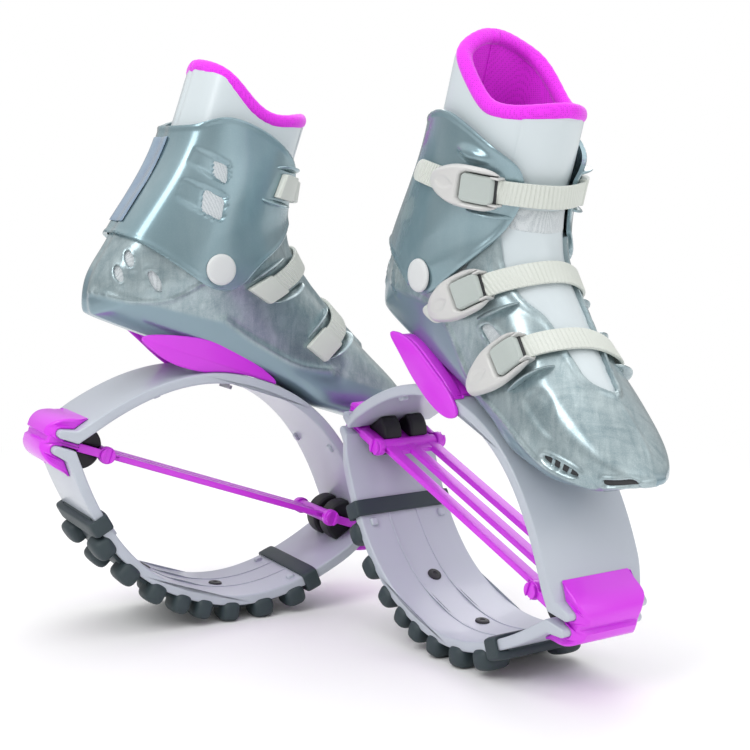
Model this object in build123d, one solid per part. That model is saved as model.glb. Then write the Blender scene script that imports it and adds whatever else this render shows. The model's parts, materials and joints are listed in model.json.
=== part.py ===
# A pair of rebound boots: a hard boot with a soft liner on an oval of two leaf springs with a rubber sole.
# One shoe is modelled in its own frame: x towards the toes, y to the wearer's left, z up, and its origin in
# the middle of the tension bars. It is the right shoe, whose buckles are on the -y side. The left one mirrors it.
from build123d import *
from math import atan2, cos, degrees, pi, sin
import os

os.makedirs("parts", exist_ok=True)

# How the two shoes stand: turned in plan, nose down on their curved soles, and this far apart
right_turn_angle = -55.5
right_nose_angle = 21.0
left_turn_angle = 27.8
left_nose_angle = 19.7
shoe_room_x = 73.1
shoe_overlap_y = 32.3

# Clearances: between moulded pieces, between pieces that touch, and between a pin and its hole
gap = 0.35
touch = 0.1
pin_clearance = 0.05
overrun = 200.0

# How finely round pieces are drawn
leaf_step_count = 22
arc_step_count = 6
round_side_count = 10
disc_side_count = 14
lug_side_count = 8
vent_side_count = 6
pivot_side_count = 8

# Leaf springs: each is half of the oval, with an outward hook and a bead at both ends
leaf_rise = 91.5
leaf_span = 142.4
# a longer oval sets the shoes further apart
shoe_spacing_x = leaf_span + shoe_room_x
shoe_spacing_y = leaf_span - shoe_overlap_y
leaf_power = 2.23
leaf_thickness = 8.2
leaf_end_thickness = 10.4
leaf_half_width = 43.5
leaf_end_half_width = 36.5
leaf_taper_inset = 12.4
leaf_corner = 2.2
bead_outset = 0.2
bead_z = 6.6
bead_radius = 3.5
nub_length = 6.5
nub_width = 6.0
nub_height = 2.6
nub_y = 33.0

# End caps with their arms
cap_half_width = 31.0
cap_nose_outset = 12.6
cap_nose_half_width = 14.0
cap_side_outset = 6.6
cap_tip_inset = 10.2
cap_tip_z = 24.2
cap_tip_inner_inset = 18.4
cap_tip_inner_z = 20.5
cap_back_outset = 4.6
cap_back_z = 18.0
cap_shoulder_outset = 11.4
cap_shoulder_z = 8.6
cap_groove_outset = 8.0
cap_groove_half_width = 1.6
cap_plate_thickness = 4.0
arm_thickness = 5.4
arm_height = 6.6
eye_radius = 6.8

# Tension bars and the pins that join them to the caps
pin_inset = 40.5
pin_radius = 3.0
pin_head_radius = 5.6
pin_head_height = 1.5
barrel_radius = 5.3
bar_width = 10.0
bar_thickness = 5.0
bar_tie_length = 8.0
bar_tie_thickness = 3.6

# Bumpers, which sit in pairs inside each end of the oval
bumper_radius = 17.5
bumper_inset = 20.9
bumper_width = 20.0
bumper_gap = 5.0
bumper_neck_length = 11.0
bumper_neck_width = 12.0

# Rubber sole: a strip under the leaf, lugs along both edges, and a loop round the leaf at each end
strip_thickness = 3.4
strip_half_width = 36.0
lug_half_length = 10.6
lug_half_height = 10.8
lug_centre_drop = 2.6
lug_inner_y = 21.0
lug_outer_y = 46.8
lug_place_shares = (0.067, 0.226, 0.408, 0.578)
lug_length_shares = (0.80, 0.86, 1.0, 1.0)
loop_inset = 46.8
loop_width = 13.0
loop_inner_thickness = 3.0
loop_outer_thickness = 7.0
loop_side_thickness = 2.8
plug_x = 34.5
plug_radius = 5.4
plug_head_height = 1.6
plug_shank_radius = 3.0

# Places along the shoe, all measured from where the leaves end
leaf_taper_x = leaf_span - leaf_taper_inset
bead_x = leaf_span + bead_outset
cap_nose_x = leaf_span + cap_nose_outset
cap_side_x = leaf_span + cap_side_outset
cap_tip_x = leaf_span - cap_tip_inset
cap_tip_inner_x = leaf_span - cap_tip_inner_inset
cap_back_x = leaf_span + cap_back_outset
cap_shoulder_x = leaf_span + cap_shoulder_outset
cap_groove_x = leaf_span + cap_groove_outset
pin_x = leaf_span - pin_inset
bumper_x = leaf_span - bumper_inset
loop_x = leaf_span - loop_inset

# Boot form: one loft that the shell, cuff, liner and straps are all offsets of
boot_length = 296.0
boot_height = 236.5
boot_half_width = 48.0
ball_drop = 7.6
# Each station is a plane through the boot: its instep or shin point (x, z) and its sole or back point (x, z)
# as shares of the length and height, then shares of the half width at the middle, low down and on the sole
boot_station_shares = (
    (0.500, 0.129, 0.498, 0.099, 0.26, 0.26, 0.16),
    (0.476, 0.150, 0.470, 0.072, 0.48, 0.52, 0.30),
    (0.422, 0.192, 0.399, 0.030, 0.71, 0.77, 0.48),
    (0.338, 0.242, 0.311, 0.004, 0.86, 0.94, 0.58),
    (0.253, 0.293, 0.203, 0.002, 0.92, 1.00, 0.62),
    (0.152, 0.360, 0.084, 0.036, 0.86, 0.96, 0.58),
    (0.068, 0.433, -0.051, 0.053, 0.86, 0.90, 0.52),
    (-0.007, 0.526, -0.355, 0.063, 0.99, 0.80, 0.40),
    (-0.027, 0.586, -0.474, 0.074, 1.04, 0.76, 0.30),
    (-0.041, 0.645, -0.502, 0.184, 1.04, 0.75, 0.24),
    (-0.051, 0.725, -0.481, 0.323, 1.02, 0.78, 0.22),
    (-0.051, 0.907, -0.414, 0.729, 0.90, 0.86, 0.26),
    (-0.044, 1.008, -0.419, 1.008, 0.88, 0.87, 0.26),
)
# Where a section's side passes: shares of its depth and of its half widths
upper_arc_shares = (0.17, 0.78)
middle_depth_share = 0.50
lower_arc_shares = (0.88, 0.95)
upper_step_count = 3
lower_step_count = 2

# Lower shell: upper edge, throat, heel vents, side windows and toe slot
shell_wall = 2.8
shell_top_shares = ((-0.334, 0.389), (-0.232, 0.432), (-0.074, 0.550))
throat_half_width = 19.0
throat_taper_x = 62.0
throat_end_x = 97.0
throat_depth = 16.0
vent_shares = ((-0.459, 0.275), (-0.471, 0.218), (-0.380, 0.231))
vent_lengths = (17.0, 17.0, 21.0)
vent_height = 9.0
vent_angle = -38.0
window_shares = ((-0.020, 0.271), (0.243, 0.157))
window_length = 22.0
window_height = 9.0
toe_slot_share = 0.121
toe_slot_half_width = 24.0
toe_slot_height = 3.6

# Cuff, its rear plate and the ankle rivets that it turns on
cuff_gap = 1.8
cuff_wall = 2.8
cuff_mouth_half_width = 20.5
cuff_mouth_shift = 4.0
cuff_strap_room = 4.0
cuff_outline_shares = (
    (-0.700, 0.378), (-0.446, 0.339), (-0.368, 0.301), (-0.277, 0.267), (-0.193, 0.263), (-0.155, 0.305),
    (-0.122, 0.423), (-0.068, 0.521), (0.100, 0.601), (0.100, 0.753), (-0.081, 0.787), (-0.166, 0.831),
    (-0.301, 0.816), (-0.439, 0.723), (-0.700, 0.715),
)
cuff_window_shares = ((-0.334, 0.643), (-0.321, 0.529))
cuff_window_length = 29.0
cuff_window_height = 12.5
cuff_window_lean = 5.0
plate_half_width = 15.0
plate_thickness = 1.8
plate_height_shares = (0.389, 0.702)
rivet_shares = (-0.232, 0.334)
rivet_radius = 5.0
rivet_head_radius = 12.0
rivet_head_height = 2.4

# Liner, collar, tongue and insole
liner_wall = 5.5
liner_top_shares = ((-0.419, 0.948), (-0.324, 0.926), (-0.209, 0.855), (-0.068, 0.926))
collar_height = 8.5
collar_proud = 2.0
tongue_wall = 2.2
tongue_sink = 0.6
tongue_top_share = 0.753
tongue_toe_x = 92.0
insole_thickness = 4.0

# Boot mount between leaf and shell: plate, core, two wings, the outer apron, and its bolts
mount_plate_thickness = 3.6
mount_rear_x = -127.0
mount_front_x = 13.0
mount_half_width = 36.0
wing_thickness = 6.0
wing_inner_y = 33.0
wing_low_shares = (
    (-0.358, 0.066), (-0.310, 0.012), (-0.243, -0.016), (-0.150, -0.014), (-0.050, 0.010), (0.044, 0.047))
wing_rise = 15.0
core_half_width = 14.0
core_shift = 13.0
apron_thickness = 3.2
apron_shares = (
    (-0.338, 0.079), (-0.226, 0.108), (-0.081, 0.064), (0.003, 0.017), (-0.024, -0.025), (-0.054, -0.040),
    (-0.132, -0.008), (-0.250, 0.036),
)
bolt_places = (-48.0, -12.0)
bolt_radius = 3.0
bolt_head_radius = 5.4
bolt_head_height = 3.2

# Straps: width, thickness, the place of each on the crown, its lean and its turn in plan
strap_width = 16.5
strap_thickness = 2.4
strap_crown_shares = {"toe": (0.181, 0.355), "middle": (0.032, 0.478), "top": (-0.034, 0.685)}
strap_lean_angles = {"toe": 31.4, "middle": 44.1, "top": 81.1}
strap_turn_angles = {"toe": -9.4, "middle": -4.1, "top": 0.0}
# How far down its plane each strap ends, on the inner side and on the buckle side
strap_inner_end_shares = {"toe": -0.195, "middle": -0.245, "top": -0.128}
strap_outer_end_shares = {"toe": -0.240, "middle": -0.385, "top": -0.405}
anchor_length = 22.0
anchor_width = 20.0

# Buckles: fork end and lever tip of each as shares of the length, half width and height
buckle_fork_shares = {
    "toe": (0.142, -0.702, 0.311), "middle": (-0.027, -0.825, 0.408), "top": (-0.084, -0.673, 0.682)}
buckle_tip_shares = {
    "toe": (0.030, -1.021, 0.106), "middle": (-0.167, -1.071, 0.241), "top": (-0.264, -1.083, 0.641)}
base_thickness = 2.0
base_length = 31.0
cheek_thickness = 1.6
cheek_length = 7.5
hinge_x = 3.6
pivot_radius = 1.2
pivot_clearance = 0.15
lever_width = 30.0
lever_thickness = 3.8
lever_tip_width = 9.0
lever_waist_share = 0.55
lever_shoulder_length = 5.0
window_clearance = 1.6
tab_length = 28.0
tab_width = 20.0
tab_thickness = 2.0
knuckle_radius = 2.2
knuckle_length = 8.5


def side_point(x_share, z_share):
    # a place on the boot's side view from shares of its length and height
    return (x_share * boot_length, leaf_rise - ball_drop + z_share * boot_height)


def side_points(shares):
    return [side_point(*pair) for pair in shares]


def polygon(points):
    return make_face(Polyline(*points, close=True))


def arc_points(start, middle, end):
    # an arc through three points, drawn with flats
    arc = ThreePointArc(start, middle, end)
    return [(point.X, point.Y) for point in (arc @ (i / arc_step_count) for i in range(arc_step_count + 1))]


def prism(points, half_width=overrun):
    # an outline seen from the side, made as wide as the piece
    return side_solid(polygon(points), half_width)


def side_solid(face, half_width):
    return extrude(Plane.XZ * face, amount=half_width, both=True)


def side_band(face, y_from, y_to):
    return Pos(0, (y_from + y_to) / 2, 0) * side_solid(face, abs(y_to - y_from) / 2)


def cross_bar(radius, length, side_count=round_side_count):
    # a round bar across the shoe, drawn with flats
    return extrude(Plane.XZ * RegularPolygon(radius, side_count), amount=length / 2, both=True)


def round_bar(radius, length):
    # a bar across the shoe with a true round face, for what a hinge turns on
    return Rot(90, 0, 0) * Cylinder(radius, length)


def upright_bar(radius, z_from, z_to):
    return Pos(0, 0, z_from) * extrude(RegularPolygon(radius, round_side_count), amount=z_to - z_from)


def leaf_height(x, rise, span):
    # height of a leaf's curve over the bar plane at a place along the shoe
    return rise * (1 - abs(x / span) ** leaf_power)


def leaf_reach(z, rise, span):
    # how far along the shoe the curve is when it has come down to a height
    return span * (1 - z / rise) ** (1 / leaf_power)


def leaf_points(rise, span, reach):
    # the leaf's curve between two places, in steps that shorten towards its steep ends
    places = [reach * sin(pi * (i / leaf_step_count - 1 / 2)) for i in range(leaf_step_count + 1)]
    return [(x, leaf_height(x, rise, span)) for x in places]


def leaf_outline(grow=0.0):
    bead = bead_radius + grow
    rise, span = leaf_rise + grow, leaf_span + grow
    in_rise, in_span = leaf_rise - leaf_thickness - grow, leaf_span - leaf_end_thickness - grow
    outer = leaf_points(rise, span, leaf_reach(bead_z + bead + leaf_corner, rise, span))
    inner = leaf_points(in_rise, in_span, leaf_reach(bead_z - bead, in_rise, in_span))
    angles = [pi / 2 - pi * i / arc_step_count for i in range(arc_step_count + 1)]
    end = [(bead_x + bead * cos(angle), bead_z + bead * sin(angle)) for angle in angles]
    return polygon(outer + end + inner[::-1] + [(-x, z) for x, z in end[::-1]])


def half_oval(rise, span):
    return polygon(leaf_points(rise, span, span))


def outer_oval(grow):
    return half_oval(leaf_rise + grow, leaf_span + grow)


def inner_room(clear):
    # the space inside the two leaves
    half = half_oval(leaf_rise - leaf_thickness - clear, leaf_span - leaf_end_thickness - clear)
    upper = side_solid(half, leaf_half_width)
    return upper + upper.mirror(Plane.XY)


def leaf_frame(x, inside=0.0):
    # a frame on the leaf's outer curve, or that far inside it: x along the leaf and z outwards
    z = leaf_height(x, leaf_rise, leaf_span)
    slope = atan2(leaf_height(x + touch, leaf_rise, leaf_span) - z, touch)
    return Pos(x, 0, z) * Rot(0, -degrees(slope), 0) * Pos(0, 0, -inside)


def make_leaf():
    leaf = side_solid(leaf_outline(), leaf_half_width)
    tip, wide, narrow = bead_x + bead_radius, leaf_half_width, leaf_end_half_width
    corner = polygon([(tip, narrow), (leaf_taper_x, wide), (leaf_taper_x, wide + overrun),
                      (tip + overrun, wide + overrun), (tip + overrun, narrow)])
    cut = extrude(corner, amount=leaf_rise)
    for piece in (cut, cut.mirror(Plane.XZ)):
        leaf = leaf - piece - piece.mirror(Plane.YZ)
    nub_x = loop_x - loop_width / 2 - nub_length / 2 - gap
    for x in (-nub_x, nub_x):
        for y in (-nub_y, nub_y):
            leaf = leaf + leaf_frame(x, leaf_thickness) * Pos(0, y, 0) * Box(nub_length, nub_width, 2 * nub_height)
    return leaf


def make_upper_leaf():
    leaf = make_leaf()
    for x in bolt_places:
        leaf = leaf - Pos(x, 0, 0) * upright_bar(bolt_radius + touch, 0, leaf_rise + gap)
    return leaf


def make_lower_leaf():
    leaf = make_leaf()
    for x in (-plug_x, plug_x):
        hole = upright_bar(plug_shank_radius + touch, -gap, leaf_thickness + gap)
        seat = upright_bar(plug_radius + touch, -leaf_thickness, plug_head_height + touch)
        leaf = leaf - leaf_frame(x, leaf_thickness) * (hole + seat)
    return leaf.mirror(Plane.XY)


def make_cap():
    # two lobes that hook over the beads of both leaves, a plate into the oval and an arm at each side
    groove = cap_groove_half_width
    back = arc_points((cap_tip_x, cap_tip_z), (cap_back_x, cap_back_z), (cap_shoulder_x, cap_shoulder_z))
    upper = [(cap_tip_inner_x, 0), (cap_tip_inner_x, cap_tip_inner_z)] + back + [
        (cap_shoulder_x, 2 * groove), (cap_groove_x, groove), (cap_groove_x, 0)]
    lobe = side_solid(polygon(upper) - outer_oval(gap) - leaf_outline(touch), cap_half_width)
    web_z = bead_z - bead_radius - touch
    plate_x = pin_x + barrel_radius + 2 * gap
    plate_length = cap_groove_x - plate_x
    plate = Pos(plate_x + plate_length / 2, 0, 0) * Box(plate_length, 2 * cap_half_width, cap_plate_thickness)
    root_length = cap_groove_x - bumper_x - bumper_radius - gap
    root = Pos(cap_groove_x - root_length / 2, 0, 0) * Box(root_length, 2 * cap_half_width, 2 * web_z)
    cap = plate + [root, lobe, lobe.mirror(Plane.XY)]
    wide = cap_half_width + gap
    plan = polygon([(0, -wide), (cap_side_x, -wide), (cap_nose_x, -cap_nose_half_width),
                    (cap_nose_x, cap_nose_half_width), (cap_side_x, wide), (0, wide)])
    cap = cap & extrude(plan, amount=overrun, both=True)
    arm_y = cap_half_width - arm_thickness / 2
    arm_length = cap_tip_inner_x - pin_x
    for y in (-arm_y, arm_y):
        arm = Pos(pin_x + arm_length / 2, y, 0) * Box(arm_length, arm_thickness, arm_height)
        eye = Pos(pin_x, y, 0) * cross_bar(eye_radius, arm_thickness)
        cap = cap + [arm, eye] - Pos(pin_x, y, 0) * cross_bar(pin_radius + pin_clearance, overrun)
    for y in bumper_rows():
        cap = cap - Pos(bumper_x, y, 0) * Box(bumper_neck_length + gap, bumper_neck_width + gap, arm_height)
    return cap


def bumper_rows():
    half = (bumper_width + bumper_gap) / 2
    return (-half, half)


def make_bumpers():
    # each bumper is a pair of round lobes above and below the cap's plate, joined by a neck through it
    disc = cross_bar(bumper_radius, bumper_width, disc_side_count)
    slot = Box(overrun, overrun, cap_plate_thickness + 2 * touch)
    neck = Box(bumper_neck_length, bumper_neck_width, cap_plate_thickness + 2 * gap)
    room = inner_room(gap) - Pos(pin_x, 0, 0) * cross_bar(barrel_radius + gap, 2 * cap_half_width)
    bumpers = []
    for y in bumper_rows():
        place = Pos(bumper_x, y, 0)
        bumper = ((place * disc) & room) - place * slot + place * neck
        bumpers += [bumper, bumper.mirror(Plane.YZ)]
    return Compound(bumpers)


def make_tension_bars():
    half = cap_half_width - arm_thickness - gap
    barrel = cross_bar(barrel_radius, 2 * half)
    pieces = [Pos(-pin_x, 0, 0) * barrel]
    for y in (bar_width / 2 - half, 0, half - bar_width / 2):
        pieces.append(Pos(0, y, 0) * Box(2 * pin_x, bar_width, bar_thickness))
    tie_x = pin_x - (barrel_radius + pin_radius + bar_tie_length) / 2
    for x in (-tie_x, tie_x):
        pieces.append(Pos(x, 0, 0) * Box(bar_tie_length, 2 * half, bar_tie_thickness))
    bars = Pos(pin_x, 0, 0) * barrel + pieces
    for x in (-pin_x, pin_x):
        bars = bars - Pos(x, 0, 0) * cross_bar(pin_radius + pin_clearance, overrun)
    return bars


def make_link_pins():
    pins = []
    for x in (-pin_x, pin_x):
        pin = cross_bar(pin_radius, 2 * (cap_half_width + touch))
        head_y = cap_half_width + touch + pin_head_height / 2
        for y in (-head_y, head_y):
            pin = pin + Pos(0, y, 0) * cross_bar(pin_head_radius, pin_head_height)
        pins.append(Pos(x, 0, 0) * pin)
    return Compound(pins)


def make_lug(length_share):
    ring = RegularPolygon(lug_half_height, lug_side_count, rotation=180 / lug_side_count)
    outline = scale(ring, by=(lug_half_length * length_share / lug_half_height, 1, 1))
    return Pos(0, -lug_inner_y, 0) * extrude(Plane.XZ * outline, amount=lug_outer_y - lug_inner_y)


def make_tread_sole():
    # the strip follows the leaf, and the lugs reach past the leaf's edges and up beside them
    reach = loop_x + loop_width / 2
    inner, outer = (leaf_rise, leaf_span), (leaf_rise + strip_thickness, leaf_span + strip_thickness)
    strip = prism(leaf_points(*inner, reach) + leaf_points(*outer, reach)[::-1], strip_half_width)
    pieces = []
    for place_share, length_share in zip(lug_place_shares, lug_length_shares):
        lug = leaf_frame(place_share * leaf_span) * Pos(0, 0, lug_centre_drop) * make_lug(length_share)
        pieces += [lug, lug.mirror(Plane.XZ), lug.mirror(Plane.YZ), lug.mirror(Plane.YZ).mirror(Plane.XZ)]
    height = leaf_thickness + loop_inner_thickness + loop_outer_thickness
    middle = (loop_outer_thickness - loop_inner_thickness - leaf_thickness) / 2
    loop = Pos(0, 0, middle) * Box(loop_width, 2 * (leaf_half_width + loop_side_thickness), height)
    pieces += [leaf_frame(-loop_x) * loop, leaf_frame(loop_x) * loop]
    leaf_room = side_solid(leaf_outline(touch), leaf_half_width + touch)
    return ((strip + pieces) - leaf_room).mirror(Plane.XY)


def make_sole_plugs():
    plugs = []
    for x in (-plug_x, plug_x):
        head = upright_bar(plug_radius, 0, plug_head_height)
        shank = upright_bar(plug_shank_radius, 0, leaf_thickness - 2 * gap)
        plugs.append((leaf_frame(x, leaf_thickness) * (head + shank)).mirror(Plane.XY))
    return Compound(plugs)


class Section:
    # one plane through the boot form, grown outwards by an offset
    def __init__(self, shares, offset):
        x, z = side_point(*shares[0:2])
        top = Vector(x, 0, z)
        x, z = side_point(*shares[2:4])
        bottom = Vector(x, 0, z)
        self.down = (bottom - top).normalized()
        self.top = top - self.down * offset
        self.depth = (bottom - top).length + 2 * offset
        self.middle, self.low, self.flat = [share * boot_half_width + offset for share in shares[4:7]]

    def at(self, depth_share, y):
        return self.top + self.down * (depth_share * self.depth) + Vector(0, y, 0)

    def side(self, sign):
        # points from the crown down one side to the sole, along two arcs
        middle = self.at(middle_depth_share, sign * self.middle)
        upper = Edge.make_three_point_arc(
            self.at(0, 0), self.at(upper_arc_shares[0], sign * upper_arc_shares[1] * self.middle), middle)
        lower = Edge.make_three_point_arc(
            middle, self.at(lower_arc_shares[0], sign * lower_arc_shares[1] * self.low), self.at(1, sign * self.flat))
        points = [upper @ (i / upper_step_count) for i in range(upper_step_count)]
        return points + [lower @ (i / lower_step_count) for i in range(lower_step_count + 1)]

    def wire(self):
        return Wire.make_polygon(self.side(1) + self.side(-1)[:0:-1])


forms = {}


def boot_form(offset):
    # the lofted boot grown by an offset, kept because several pieces use the same one
    if offset not in forms:
        stations = boot_station_shares[1:] if offset < 0 else boot_station_shares
        forms[offset] = Solid.make_loft([Section(shares, offset).wire() for shares in stations], ruled=True)
    return forms[offset]


def skin(low, high, region):
    # the layer between two offsets of the boot form, within a region
    return (boot_form(high) & region) - boot_form(low)


def oval_cut(place, length, height, angle):
    ring = scale(RegularPolygon(1, vent_side_count), by=(length / 2, height / 2, 1))
    return side_solid(Pos(*place) * Rot(0, 0, angle) * ring, overrun)


def throat(clear=0.0):
    # the open instep seen from above: a slot that narrows to a point, only through the top of the boot
    half = throat_half_width + clear
    plan = polygon([(-overrun, -half), (throat_taper_x, -half), (throat_end_x, 0), (throat_taper_x, half),
                    (-overrun, half)])
    column = extrude(plan, amount=leaf_rise + boot_height + overrun)
    line = [(x, z - throat_depth) for x, z in (side_point(*shares[0:2]) for shares in boot_station_shares)]
    roof = [(line[-1][0], line[-1][1] + overrun), (line[0][0] + overrun, line[-1][1] + overrun)]
    return column & prism(line + roof)


def make_lower_shell():
    top = side_points(shell_top_shares)
    below = prism([(-overrun, 0), (-overrun, top[0][1])] + top + [(overrun, top[-1][1]), (overrun, 0)])
    shell = skin(-shell_wall, 0, below) - throat()
    for place, length in zip(side_points(vent_shares), vent_lengths):
        shell = shell - oval_cut(place, length, vent_height, vent_angle)
    for place in side_points(window_shares):
        shell = shell - oval_cut(place, window_length, window_height, vent_angle)
    nose_x, slot_z = side_point(boot_station_shares[0][0], toe_slot_share)
    shell = shell - Pos(nose_x, 0, slot_z) * Box(2 * toe_slot_half_width, 2 * toe_slot_half_width, toe_slot_height)
    return shell - rivet_hole() - bolt_holes()


def rivet_hole():
    x, z = side_point(*rivet_shares)
    return Pos(x, 0, z) * Rot(90, 0, 0) * Cylinder(rivet_radius + pin_clearance, 2 * overrun)


def bolt_holes():
    return [Pos(x, 0, 0) * upright_bar(bolt_radius + touch, 0, bolt_top() + gap) for x in bolt_places]


def bolt_top():
    return side_point(*boot_station_shares[6][2:4])[1] + shell_wall - 2 * gap


def cuff_outer():
    return cuff_gap + cuff_wall


def make_cuff():
    cuff = skin(cuff_gap, cuff_outer(), prism(side_points(cuff_outline_shares)))
    front = Pos(overrun / 2 + side_point(*rivet_shares)[0], cuff_mouth_shift, 0)
    cuff = cuff - front * Box(overrun, 2 * cuff_mouth_half_width, 4 * overrun)
    for x, z in side_points(cuff_window_shares):
        half, rise, lean = cuff_window_length / 2, cuff_window_height / 2, cuff_window_lean
        cuff = cuff - prism([(x - half, z - rise + lean), (x + half, z - rise - lean),
                             (x + half - lean, z + rise - lean), (x - half + lean, z + rise + lean)])
    strap_room = Box(strap_width + 2 * cuff_strap_room, overrun, overrun)
    return cuff - strap_frame("middle") * Pos(0, 0, -overrun / 2) * strap_room - rivet_hole()


def make_cuff_spoiler():
    low = side_point(0, plate_height_shares[0])[1]
    high = side_point(0, plate_height_shares[1])[1]
    behind = Pos(side_point(*rivet_shares)[0] - overrun / 2, 0, (low + high) / 2)
    return skin(cuff_outer() + touch, cuff_outer() + plate_thickness,
                behind * Box(overrun, 2 * plate_half_width, high - low))


def half_width_at_rivet(offset, radius):
    x, z = side_point(*rivet_shares)
    probe = Pos(x, 0, z) * Rot(90, 0, 0) * Cylinder(radius, 2 * overrun)
    return (boot_form(offset) & probe).bounding_box().size.Y / 2


def make_ankle_rivets():
    # a rivet at each ankle: its shank passes the cuff and the shell, and its head lies over the cuff
    x, z = side_point(*rivet_shares)
    inside = half_width_at_rivet(0, touch) - shell_wall + gap
    outside = half_width_at_rivet(cuff_outer(), rivet_head_radius) + gap
    rivets = []
    for side in (-1, 1):
        length = outside - inside
        shank = Pos(0, side * (inside + length / 2), 0) * cross_bar(rivet_radius, length, disc_side_count)
        head_y = side * (outside + rivet_head_height / 2)
        head = Pos(0, head_y, 0) * cross_bar(rivet_head_radius, rivet_head_height, disc_side_count)
        rivets.append(Pos(x, 0, z) * (shank + head))
    return Compound(rivets)


def liner_line(extra=0.0):
    # the liner's upper edge from back to front, raised by an amount
    points = [(x, z + extra) for x, z in side_points(liner_top_shares)]
    return [(-overrun, points[0][1])] + points + [(overrun, points[-1][1])]


def make_liner():
    outside = -shell_wall - gap
    return skin(outside - liner_wall, outside, prism([(-overrun, 0)] + liner_line() + [(overrun, 0)]))


def make_liner_collar():
    outside = collar_proud - shell_wall - gap
    inside = -shell_wall - gap - liner_wall - collar_proud
    return skin(inside, outside, prism(liner_line(touch) + liner_line(collar_height)[::-1]))


def make_tongue():
    toe, back, top = tongue_toe_x, -overrun, side_point(0, tongue_top_share)[1]
    region = throat(-gap) & prism([(back, 0), (toe, 0), (toe, top), (back, top)])
    return skin(-tongue_sink - tongue_wall, -tongue_sink, region)


def make_insole():
    outside = -shell_wall - gap - liner_wall - touch
    line = [(x, z - outside + insole_thickness) for x, z in (side_point(*s[2:4]) for s in boot_station_shares[2:8])]
    return boot_form(outside) & prism(line + [(line[-1][0], 0), (line[0][0], 0)])


def make_boot_mount():
    line = [(x, z) for x, z in (side_point(*s[2:4]) for s in boot_station_shares[4:9])]
    plate = prism([(x, z + mount_plate_thickness) for x, z in line]
                  + [(x, z - mount_plate_thickness) for x, z in line[::-1]], mount_half_width)
    low = side_points(wing_low_shares)
    wing = polygon(low + [(low[-1][0], low[-1][1] + wing_rise), (low[0][0], low[0][1] + wing_rise)])
    core = Pos(-core_shift, 0, 0) * side_solid(wing, core_half_width)
    outer_y = wing_inner_y + wing_thickness
    mount = plate + [core, side_band(wing, wing_inner_y, outer_y), side_band(wing, -outer_y, -wing_inner_y)]
    length = mount_front_x - mount_rear_x
    mount = mount & (Pos(mount_rear_x + length / 2, 0, 0) * Box(length, overrun, 2 * overrun))
    apron_y = leaf_half_width + gap
    apron = polygon(side_points(apron_shares))
    above = Pos(0, leaf_rise + overrun / 2) * Rectangle(2 * overrun, overrun)
    outer_part = side_band(apron, -apron_y - apron_thickness, -apron_y)
    mount = mount + [outer_part, side_band(apron & above, -apron_y, -wing_inner_y)]
    mount = mount - boot_form(touch) - side_solid(outer_oval(gap), leaf_half_width + gap) - bolt_holes()
    return mount.solids().sort_by(SortBy.VOLUME)[-1]


def make_mount_bolts():
    bolts = []
    for x in bolt_places:
        under = leaf_height(x, leaf_rise - leaf_thickness, leaf_span - leaf_end_thickness) - leaf_corner - gap
        shank = upright_bar(bolt_radius, under, bolt_top())
        head = upright_bar(bolt_head_radius, under - bolt_head_height, under)
        bolts.append(Pos(x, 0, 0) * (shank + head))
    return Compound(bolts)


def strap_frame(name):
    # x across the strap's width, y across the boot and z up its plane, from the crown of the boot
    x, z = side_point(*strap_crown_shares[name])
    return Pos(x, 0, z) * Rot(0, strap_lean_angles[name], 0) * Rot(0, 0, strap_turn_angles[name])


def carrier_offset(name):
    # the outside of the piece that a strap and its buckle are riveted to
    return cuff_outer() if name == "top" else 0.0


def strap_offset(name):
    return carrier_offset(name) + base_thickness + 2 * gap


def lever_offset(name):
    return strap_offset(name) + strap_thickness + gap


def make_strap(name):
    inner = strap_inner_end_shares[name] * boot_height
    outer = strap_outer_end_shares[name] * boot_height
    half = overrun / 2
    sides = (Pos(0, half, inner + half) * Box(strap_width, overrun, overrun)
             + Pos(0, -half, outer + half) * Box(strap_width, overrun, overrun))
    low = strap_offset(name)
    strap = skin(low, low + strap_thickness, strap_frame(name) * sides)
    seat = Pos(0, half, inner + anchor_length / 2) * Box(anchor_width, overrun, anchor_length)
    return strap + skin(carrier_offset(name) + gap, low + strap_thickness, strap_frame(name) * seat)


def buckle_points(name):
    # the middle of the fork's end and the lever's tip
    points = []
    for x_share, y_share, z_share in (buckle_fork_shares[name], buckle_tip_shares[name]):
        x, z = side_point(x_share, z_share)
        points.append(Vector(x, y_share * boot_half_width, z))
    return points


def buckle_plane(name):
    # x along the strap from the fork's end, y across it and z out of the boot
    frame = Plane(strap_frame(name))
    fork, tip = [point - frame.x_dir * frame.to_local_coords(point).X for point in buckle_points(name)]
    out = (tip - fork).cross(frame.x_dir)
    return Plane(origin=fork, x_dir=tip - fork, z_dir=out if out.Y < 0 else out * -1)


def lever_tip(name):
    # how far along the strap and how far to its side the lever's tip lies
    tip = buckle_plane(name).to_local_coords(buckle_points(name)[1])
    return tip.X, tip.Y


def plan_solid(name, points):
    # an outline seen from outside the buckle, made deep enough for the curve of the boot
    return extrude(buckle_plane(name) * polygon(points), amount=boot_half_width / 2, both=True)


def plan_box(name, x_from, x_to, y_from, y_to):
    return plan_solid(name, [(x_from, y_from), (x_to, y_from), (x_to, y_to), (x_from, y_to)])


def hinge_location(name):
    # the middle of the knuckle that lies just clear of the strap, read from the form itself
    low = lever_offset(name)
    probe = plan_box(name, hinge_x - pivot_radius, hinge_x + pivot_radius, -strap_width / 2, strap_width / 2)
    centre = buckle_plane(name).to_local_coords(skin(low, low + 2 * knuckle_radius, probe).center())
    return buckle_plane(name).location * Pos(hinge_x, 0, centre.Z + gap)


def cheek_inner_y():
    return strap_width / 2 + gap


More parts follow.
